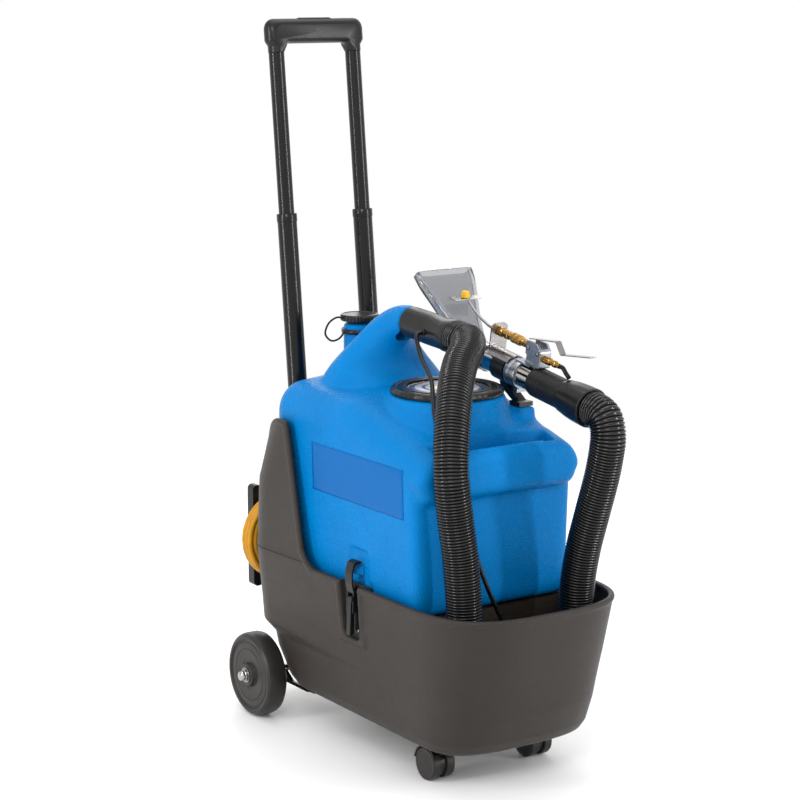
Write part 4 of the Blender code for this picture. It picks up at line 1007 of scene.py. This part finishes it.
# ---- wheels and casters
def make_wheels():
    for side, s in SIDES:
        inner = WHEEL_X - WHEEL_WIDE
        face = WHEEL_X
        profile = [(AXLE_R + 0.0005, inner), (0.02, inner), (0.024, inner + 0.004), (0.055, inner + 0.004),
            (0.058, inner), (WHEEL_R - 0.006, inner), (WHEEL_R - 0.002, inner + 0.003),
            (WHEEL_R, inner + 0.009), (WHEEL_R, face - 0.009), (WHEEL_R - 0.002, face - 0.003),
            (WHEEL_R - 0.006, face), (0.0585, face), (0.0565, face - 0.003), (0.0545, face - 0.003),
            (0.0535, face - 0.002), (0.044, face - 0.0014), (0.043, face - 0.0026),
            (0.0418, face - 0.0014), (0.0245, face - 0.002), (0.023, face - 0.003),
            (0.0205, face - 0.003), (0.0185, face + 0.003), (0.0165, face + 0.004),
            (AXLE_R + 0.0005, face + 0.004)]
        hub = shift(0, AXLE_Y, WHEEL_R)
        wheel = turned(f"wheel_{side}", sided(profile, s), "X", hub, 128)
        adopt(soften(wheel, 0.0007, 2, 20.0), f"wheel_{side}", "tyre_rubber", f"rear_wheel_{side}")
        nut = [(0, 0.197), (0.004, 0.1968), (0.0072, 0.1955), (0.0085, 0.193), (0.0085, 0.189),
            (0.0098, 0.1888), (0.0098, 0.186), (AXLE_R + GAP, 0.186), (AXLE_R + GAP, 0.1934), (0, 0.1934)]
        cap = turned(f"acorn_nut_{side}", sided(nut, s), "X", hub, 64)
        adopt(soften(cap, 0.0004), MACHINE, "zinc_steel", f"cap_nut_{side}", look="chrome_tube")
        washer = cylinder(f"washer_{side}", AXLE_R + GAP, 0.0125, s * 0.1844, s * 0.1856, "X", hub, 48)
        adopt(soften(washer, 0.0003), MACHINE, "zinc_steel")


def make_casters():
    for side, s in SIDES:
        swivel = shift(s * CASTER_X, CASTER_Y + CASTER_TRAIL, CASTER_R)
        hub = swivel @ shift(0, -CASTER_TRAIL, 0)
        half = [(0.0035, 0.005), (0.0235, 0.005), (CASTER_R, 0.0062), (CASTER_R, 0.0178),
            (0.0243, 0.0196), (0.0225, 0.02), (0.0205, 0.0192), (0.006, 0.0192), (0, 0.0196)]
        profile = [(r, -x) for r, x in reversed(half)] + half
        wheels = turned(f"caster_wheel_pair_{side}", profile, "X", hub, 72)
        adopt(soften(wheels, 0.0006, 2, 20.0), f"caster_{side}_wheels", "tyre_rubber",
            f"caster_wheels_{side}")
        web = prism(f"caster_body_{side}", [(a - CASTER_TRAIL, b) for a, b in circle(0.0215, 48)], "X",
            -0.0042, 0.0042, swivel)
        hood = crescent(0.0292, 0.0266, 8, 134, 28, -CASTER_TRAIL)
        join(web, prism(f"hood_{side}", hood, "X", -0.0195, 0.0195, swivel),
            block(f"hood_rib_{side}", (-0.0042, -0.012, 0.016), (0.0042, 0.007, 0.0285), swivel),
            turned(f"caster_stem_{side}", [(0, 0.01), (0.0085, 0.01), (0.0085, 0.0336), (0.0055, 0.0336),
            (0.0055, 0.043), (0, 0.043)], "Z", swivel, 32))
        cut(web, cylinder(f"hub_bore_{side}", 0, 0.0039, -0.01, 0.01, "X", hub, 40))
        for t in (-1, 1):
            low_x, high_x = span(t, 0.0044, 0.03)
            cut(web, cylinder(f"wheel_room_{side}_{t}", 0, CASTER_R + 0.0008, low_x, high_x, "X", hub, 60))
        adopt(soften(freeze(web), 0.0005, 2), f"caster_{side}", "black_plastic", f"caster_fork_{side}")


# ---- the telescoping handle
def grip_point(a, b, y):
    """A point of the grip's outline, drawn in towards its middle as y nears its round faces."""
    inset = 0.0158 - sqrt(0.0158 ** 2 - y ** 2)
    side = copysign(inset, a)
    leg_inside = b < 0.5425 and abs(a) < POST_X
    a += side if leg_inside else -side if abs(a) > POST_X else 0.0
    if b > 0.57:
        b -= inset
    elif b > 0.5425 and abs(a) < POST_X:
        b += inset * 0.7
    return (a, y, b)


def make_handle():
    for side, s in SIDES:
        post = HANDLE @ shift(s * POST_X, 0, 0)
        outer = cylinder(f"post_{side}", 0.0133, OUTER_R, -0.276, 0.2762, "Z", post, 72)
        adopt(soften(outer, 0.0008), MACHINE, "handle_tube", f"handle_outer_{side}")
        collar = turned(f"post_collar_{side}", [(OUTER_R + 0.0001, 0.264), (0.0164, 0.2643),
            (0.0167, 0.266), (0.0167, 0.2764), (0.016, 0.2778), (0.0131, 0.2778), (0.0131, 0.2764),
            (OUTER_R + 0.0001, 0.2764)], "Z", post, 72)
        adopt(soften(collar, 0.0004), MACHINE, "handle_tube")
        inner = cylinder(f"slider_{side}", 0.0112, INNER_R, 0.215, 0.5372, "Z", post, 72)
        adopt(soften(inner, 0.0005), "handle", "handle_tube", f"handle_inner_{side}")

    inside = [(0.0606, 0.5375, 0), (0.0606, 0.5515, 0.009)]
    outside = [(0.0862, 0.5375, 0), (0.0862, 0.548, 0.004), (0.0918, 0.556, 0.006),
        (0.0918, 0.592, 0.016)]
    shape = (outside + [(-a, b, r) for a, b, r in reversed(outside)] + [(-a, b, r) for a, b, r in inside]
        + list(reversed(inside)))
    shape = rounded(shape, 10)
    depths = [0.015 * sin(pi * (i / 20 - 0.5)) for i in range(21)]
    grip = loft("pull_grip", [[grip_point(a, b, y) for a, b in shape] for y in depths], HANDLE)
    cut(grip, block("button_pocket", (-0.0315, -0.0062, 0.5838), (0.0315, 0.0062, 0.6), HANDLE))
    adopt(soften(freeze(grip), 0.001, 3, 40.0), "handle", "black_plastic", "handle_grip")
    button = prism("pull_button", rounded([(-0.0308, -0.0055, 0.003), (0.0308, -0.0055, 0.003),
        (0.0308, 0.0055, 0.003), (-0.0308, 0.0055, 0.003)]), "Z", 0.5873, 0.5928, HANDLE)
    adopt(soften(button, 0.0014), "handle_button", "black_plastic", "grip_button", look="grip_rubber")

    plan = [(-0.096, 0.2118, 0.004), (0.096, 0.2118, 0.004), (0.096, 0.259, 0.003), (0.078, 0.2836, 0.003),
        (-0.078, 0.2836, 0.003), (-0.096, 0.259, 0.003)]
    clamp = prism("post_bracket", rounded(plan, 4), "Z", 0.312, 0.348)
    for side, s in SIDES:
        cut(clamp, cylinder(f"post_bore_{side}", 0, OUTER_R + GAP, -0.3, -0.1, "Z",
            HANDLE @ shift(s * POST_X, 0, 0), 48))
    cut(clamp, block("bracket_waist", (-0.052, 0.2, 0.3), (0.052, 0.262, 0.36)))
    adopt(soften(freeze(clamp), 0.001, 2), MACHINE, "black_plastic", "handle_bracket")


# ---- side latches
def make_latches():
    for side, s in SIDES:
        pivot = shift(s * LATCH_X, LATCH_Y, LATCH_Z)
        joint = pivot @ shift(0, 0, -HOOK_DROP)

        def strip(name, outline, low, high, place=pivot):
            return prism(name, [(s * a, b) for a, b in outline], "Y", low, high, place)

        base = strip(f"latch_plate_{side}", [(-0.0087, -0.056), (-0.0065, -0.056), (-0.0065, 0.02),
            (-0.0087, 0.02)], -0.0135, 0.0135)
        for t in (-1, 1):
            ear = rounded([(-0.0075, -0.012, 0), (-0.0075, 0.01, 0), (0.0015, 0.0075, 0.002),
                (0.0045, 0.0, 0.003), (0.0015, -0.0075, 0.002)], 4)
            join(base, strip(f"latch_ear_{side}_{t}", ear, *span(t, 0.0056, 0.0072)))
            for z in (-0.05, 0.0145):
                rivet = turned(f"rivet_{side}_{t}_{abs(z):.3f}",
                    [(0, s * -0.0065), (0.0027, s * -0.0065), (0.0025, s * -0.0055), (0.0012, s * -0.0049),
                    (0, s * -0.0048)], "X", pivot @ shift(0, t * 0.0103, z), 24)
                adopt(rivet, MACHINE, "zinc_steel")
        adopt(soften(freeze(base), 0.0003, 2), MACHINE, "black_plastic", f"latch_base_{side}")
        pin = turned(f"latch_pin_{side}", [(0, -0.0082), (0.0016, -0.008), (0.0016, 0.008), (0, 0.0082)],
            "Y", pivot, 24)
        adopt(pin, MACHINE, "zinc_steel")

        lever = strip(f"latch_handle_{side}", rounded([(-0.0029, 0.004, 0.002), (-0.0029, -0.054, 0.002),
            (0.003, -0.06, 0.002), (0.006, -0.057, 0.002), (0.0035, 0.004, 0.002)], 5), -0.0052,
            0.0052)
        cut(lever, strip(f"lever_bore_{side}", circle(0.0018, 24), -0.02, 0.02))
        join(lever, strip(f"hook_pin_{side}", circle(0.0012, 24, (0, -HOOK_DROP)), -0.0098, 0.0098))
        adopt(soften(freeze(lever), 0.0008, 2), f"latch_lever_{side}_body", "black_plastic",
            f"latch_lever_{side}")

        strap = rounded([(-0.0022, 0.0265, 0), (0.001, 0.0265, 0), (0.005, 0.042, 0.03),
            (0.0046, 0.059, 0.03), (0.0008, 0.0735, 0.004), (-0.005, 0.0765, 0.002),
            (-0.011, 0.0765, 0.001), (-0.015, 0.0735, 0), (-0.006, 0.071, 0.002),
            (-0.0018, 0.069, 0.003), (0.0022, 0.058, 0.022), (0.0026, 0.0425, 0.03)], 6)
        hook = strip(f"latch_strap_{side}", strap, -0.0092, 0.0092, joint)
        for t in (-1, 1):
            arm = [(-0.0022, -0.005), (0.0026, -0.005), (0.0026, 0.008), (0.001, 0.03),
                (-0.002, 0.03)]
            join(hook, strip(f"hook_arm_{side}_{t}", arm, *span(t, 0.0076, 0.0092), joint))
        cut(hook, strip(f"hook_bore_{side}", circle(0.0015, 24), -0.02, 0.02, joint))
        adopt(soften(freeze(hook), 0.0004, 2), f"latch_hook_{side}_body", "black_plastic",
            f"latch_hook_{side}")


# ---- the upholstery wand
def make_wand():
    pipe = cylinder("wand_pipe", 0.0172, WAND_R, -0.085, 0.112, "Y", WAND, 96)
    adopt(soften(pipe, 0.0004), MACHINE, "chrome_tube", "wand_tube")
    ridges = [(WAND_R + GAP, -0.1055)]
    for i in range(13):
        y = -0.1035 + 0.0052 * i
        ridges += [(0.0236, y), (0.0236, y + 0.004), (0.0233, y + 0.0043), (0.0233, y + 0.0049)]
    ridges += [(0.0234, -0.0345), (0.0222, -0.03), (WAND_R + GAP, -0.03)]
    adopt(soften(turned("wand_sleeve", ridges, "Y", WAND, 96), 0.0003, 2), MACHINE, "grip_rubber",
        "wand_grip")
    cuff = turned("hose_cuff", [(0.0195, -0.168), (0.0296, -0.168), (0.0306, -0.1665), (0.0302, -0.145),
        (0.0288, -0.126), (0.0268, -0.113), (0.0262, -0.1075), (0.0254, -0.106), (0.0195, -0.106)], "Y",
        WAND, 96)
    adopt(soften(cuff, 0.0008), MACHINE, "black_plastic", "wand_cuff")
    make_wand_head()

    ring = cylinder("pipe_clip", WAND_R + GAP, 0.0232, 0.03, 0.062, "Y", WAND, 72)
    join(ring, block("clip_foot", (0.1, -0.118, 0.5458), (0.126, -0.092, 0.553)),
        prism("clip_leg", [(-0.11, 0.55), (-0.092, 0.55), (-0.058, 0.57), (-0.052, 0.59),
        (-0.07, 0.59), (-0.0745, 0.574)], "X", 0.1075, 0.1225))
    cut(ring, cylinder("clip_bore", 0, WAND_R + GAP, 0.02, 0.08, "Y", WAND, 72))
    adopt(soften(freeze(ring), 0.0009, 2), MACHINE, "black_plastic", "wand_clip")
    make_valve()
    make_spray()


def make_valve():
    clamp = turned("band_clamp", [(WAND_R + GAP, 0.002), (0.0218, 0.002), (0.0226, 0.004),
        (0.0226, 0.011), (0.0214, 0.013), (0.0214, 0.0175), (0.0226, 0.0195), (0.0226, 0.0265),
        (0.0218, 0.0285), (WAND_R + GAP, 0.0285)], "Y", WAND, 72)
    join(clamp, block("clamp_lug", (-0.01, 0.003, -0.0275), (0.01, 0.011, -0.0215), WAND),
        block("clamp_post", (-0.009, -0.02, 0.0205), (0.013, 0.016, 0.0232), WAND))
    adopt(soften(freeze(clamp), 0.0008, 2), MACHINE, "zinc_steel", "valve_clamp", look="cast_zinc")
    body = rounded([(-0.0435, 0.0236, 0.003), (-0.006, 0.0236, 0.003), (-0.006, 0.061, 0.004),
        (-0.033, 0.061, 0.003), (-0.0435, 0.05, 0.004)])
    valve = prism("valve_body", body, "X", -0.009, 0.013, WAND)
    cut(valve, block("valve_slot", (-0.0045, -0.06, 0.054), (0.0085, 0.03, 0.07), WAND),
        block("valve_waist", (-0.012, -0.03, 0.0285), (-0.0065, -0.004, 0.039), WAND))
    adopt(soften(freeze(valve), 0.001, 3), MACHINE, "zinc_steel", "valve_block", look="cast_zinc")
    for y, z in ((-0.036, 0.046), (-0.012, 0.05)):
        screw = turned(f"valve_screw_{abs(y):.3f}", [(0, -0.009), (0.0032, -0.009), (0.0032, -0.0106),
            (0.0022, -0.0112), (0, -0.0112)], "X", WAND @ shift(0, y, z), 24)
        adopt(screw, MACHINE, "zinc_steel")

    inlet = turned("inlet_hose_tail", [(0, -0.0438), (0.0062, -0.0438), (0.0062, -0.056),
        (0.005, -0.0575), (0.0044, -0.059), (0.0044, -0.064), (0.0055, -0.065), (0.0055, -0.07),
        (0.0042, -0.0715), (0.0042, -0.08), (0, -0.08)], "Y", WAND @ shift(0.002, 0, 0.039), 48)
    adopt(soften(inlet, 0.0004, 2), MACHINE, "brass", "inlet_fitting")
    link = tube("valve_tubing", curve_through([(0.002, -0.0808, 0.039), (0.002, -0.0875, 0.0388),
        (0.002, -0.096, 0.033), (0.002, -0.1046, 0.0282)], 0.002), LINE_D / 2, WAND)
    adopt(link, MACHINE, "line_plastic", "valve_line")

    hinge = WAND @ shift(0.002, -0.011, 0.06)
    bend = rounded([(0.006, 0.003, 0), (-0.058, 0.016, 0.005), (-0.073, -0.0005, 0.003),
        (-0.145, 0.0165, 0), (-0.145, 0.0149, 0), (-0.0736, -0.0021, 0.0045), (-0.0588, 0.0142, 0.0035),
        (0.006, 0.0014, 0)], 5)
    adopt(soften(prism("press_lever", bend, "X", -0.0058, 0.0058, hinge), 0.0004, 2), "trigger",
        "zinc_steel", "trigger_lever")


def make_spray():
    line = WAND @ shift(0.002, 0, 0.05)
    coupling = turned("quick_coupling", [(0, -0.0057), (0.0065, -0.0057), (0.0065, 0.008),
        (0.0056, 0.009), (0.0056, 0.011), (0.0065, 0.012), (0.0065, 0.0175), (0.0082, 0.0195),
        (0.0082, 0.028), (0.0072, 0.0286), (0.0072, 0.031), (0.0082, 0.0316), (0.0082, 0.04),
        (0.0062, 0.042), (0.0062, 0.05), (0.0072, 0.0506), (0.0072, 0.058), (0.006, 0.059),
        (0.006, 0.0655), (0.0078, 0.0675), (0.0078, 0.084), (0.004, 0.086), (0.004, 0.0965),
        (0, 0.0965)], "Y", line, 96, 24, 0.0007)
    adopt(soften(coupling, 0.0003, 2), MACHINE, "brass", "brass_coupling")
    face = rounded([(-0.015, 0.0195, 0.001), (0.017, 0.0195, 0.001), (0.017, 0.064, 0.01),
        (-0.015, 0.064, 0.01)])
    bracket = prism("coupling_plate", face, "Y", 0.076, 0.0785, WAND)
    saddle = crescent(0.025, 0.0236, 40, 100, 20)
    join(bracket, prism("saddle_plate", saddle, "Y", 0.025, 0.077, WAND))
    cut(bracket, cylinder("bracket_bore", 0, 0.0084, 0.05, 0.11, "Y", line, 40))
    adopt(soften(freeze(bracket), 0.0005, 2), MACHINE, "zinc_steel", "coupling_bracket")
    feed = tube("feed_pipe", curve_through([(0.002, 0.0971, 0.05), (0.002, 0.108, 0.0508),
        (0.001, 0.135, 0.0595), (0.0, 0.162, 0.0745)], 0.002), 0.0022, WAND)
    adopt(feed, MACHINE, "zinc_steel", "feed_tube")
    strap = rounded([(-0.026, 0.0768, 0), (-0.02, 0.0768, 0.004), (-0.014, 0.0768, 0.004),
        (0.026, 0.0768, 0), (0.026, 0.0784, 0), (-0.026, 0.0784, 0)], 2)
    plate = prism("jet_plate", strap, "Y", 0.164, 0.182, WAND)
    adopt(soften(plate, 0.0004, 2), MACHINE, "zinc_steel", "jet_bracket")
    nozzle = turned("jet_tip", [(0, 0), (0.0075, 0), (0.0075, 0.006), (0.0055, 0.01), (0, 0.011)], "Z",
        WAND @ shift(0, 0.173, 0.0787), 48, 6, 0.0014)
    adopt(soften(nozzle, 0.0005, 2), MACHINE, "yellow_plastic", "spray_nozzle")


def make_wand_head():
    """A clear funnel from the round tube to a wide flat slot, with thick side edges."""
    stations = ((0.095, 0.0, 0, 0.0222, 0.0222, 2.0), (0.115, 0.0, 6, 0.0222, 0.0222, 2.0),
        (0.14, 0.008, 30, 0.0245, 0.019, 2.3), (0.17, 0.034, 40, 0.032, 0.0145, 3.0),
        (0.196, 0.06, 40, 0.042, 0.011, 4.0), (0.225, 0.088, 40, 0.053, 0.009, 6.0),
        (0.24, 0.102, 40, 0.0545, 0.009, 6.0))
    outside, inside = [], []
    for y, z, tilt, wide, deep, power in curve_through_rows(stations, 6):
        up = Vector((0, -sin(radians(tilt)), cos(radians(tilt))))
        edge = 0.0026 + 0.0042 * min(1.0, max(0.0, (y - 0.115) / 0.04))
        lip = 0.0012 if y > 0.2345 else 0.0
        for ring, side_wall, wall in ((outside, 0.0, -lip), (inside, edge, 0.0026)):
            points = []
            for k in range(96):
                c, s = cos(pi * k / 48), sin(pi * k / 48)
                x = (wide - side_wall) * copysign(abs(c) ** (2 / power), c)
                h = (deep - wall) * copysign(abs(s) ** (2 / power), s)
                points.append(Vector((x, y, z)) + up * h)
            ring.append(points)
    head = loft("suction_head", outside + inside[::-1], WAND, closed=True)
    adopt(soften(head, 0.0004, 2, 50.0), MACHINE, "clear_plastic", "wand_head")


# ---- the back of the tub
def make_back():
    wrap = block("cord_hooks", (-0.118, 0.2932, 0.262), (0.118, 0.2936, 0.294))
    for side, s in SIDES:
        x = s * 0.11
        bar = rounded([(x - 0.009, 0.191, 0.008), (x + 0.009, 0.191, 0.008), (x + 0.009, 0.365, 0.008),
            (x - 0.009, 0.365, 0.008)], 8)
        join(wrap, prism(f"wrap_bar_{side}", bar, "Y", 0.327, BACK),
            prism(f"wrap_stem_{side}", circle(0.008, 40, (s * 0.096, COIL_Z)), "Y", 0.2934, 0.33))
    adopt(soften(freeze(wrap), 0.002, 3), MACHINE, "black_plastic", "cord_wrap")


# ---- the whole scene
LOOKS = make_materials()
make_camera()
make_studio()
make_floor()
make_hose()
make_line()
make_power_cord()
make_tub()
make_tank()
make_tank_fittings()
make_wheels()
make_casters()
make_handle()
make_latches()
make_wand()
make_back()
dress_cad_nodes()
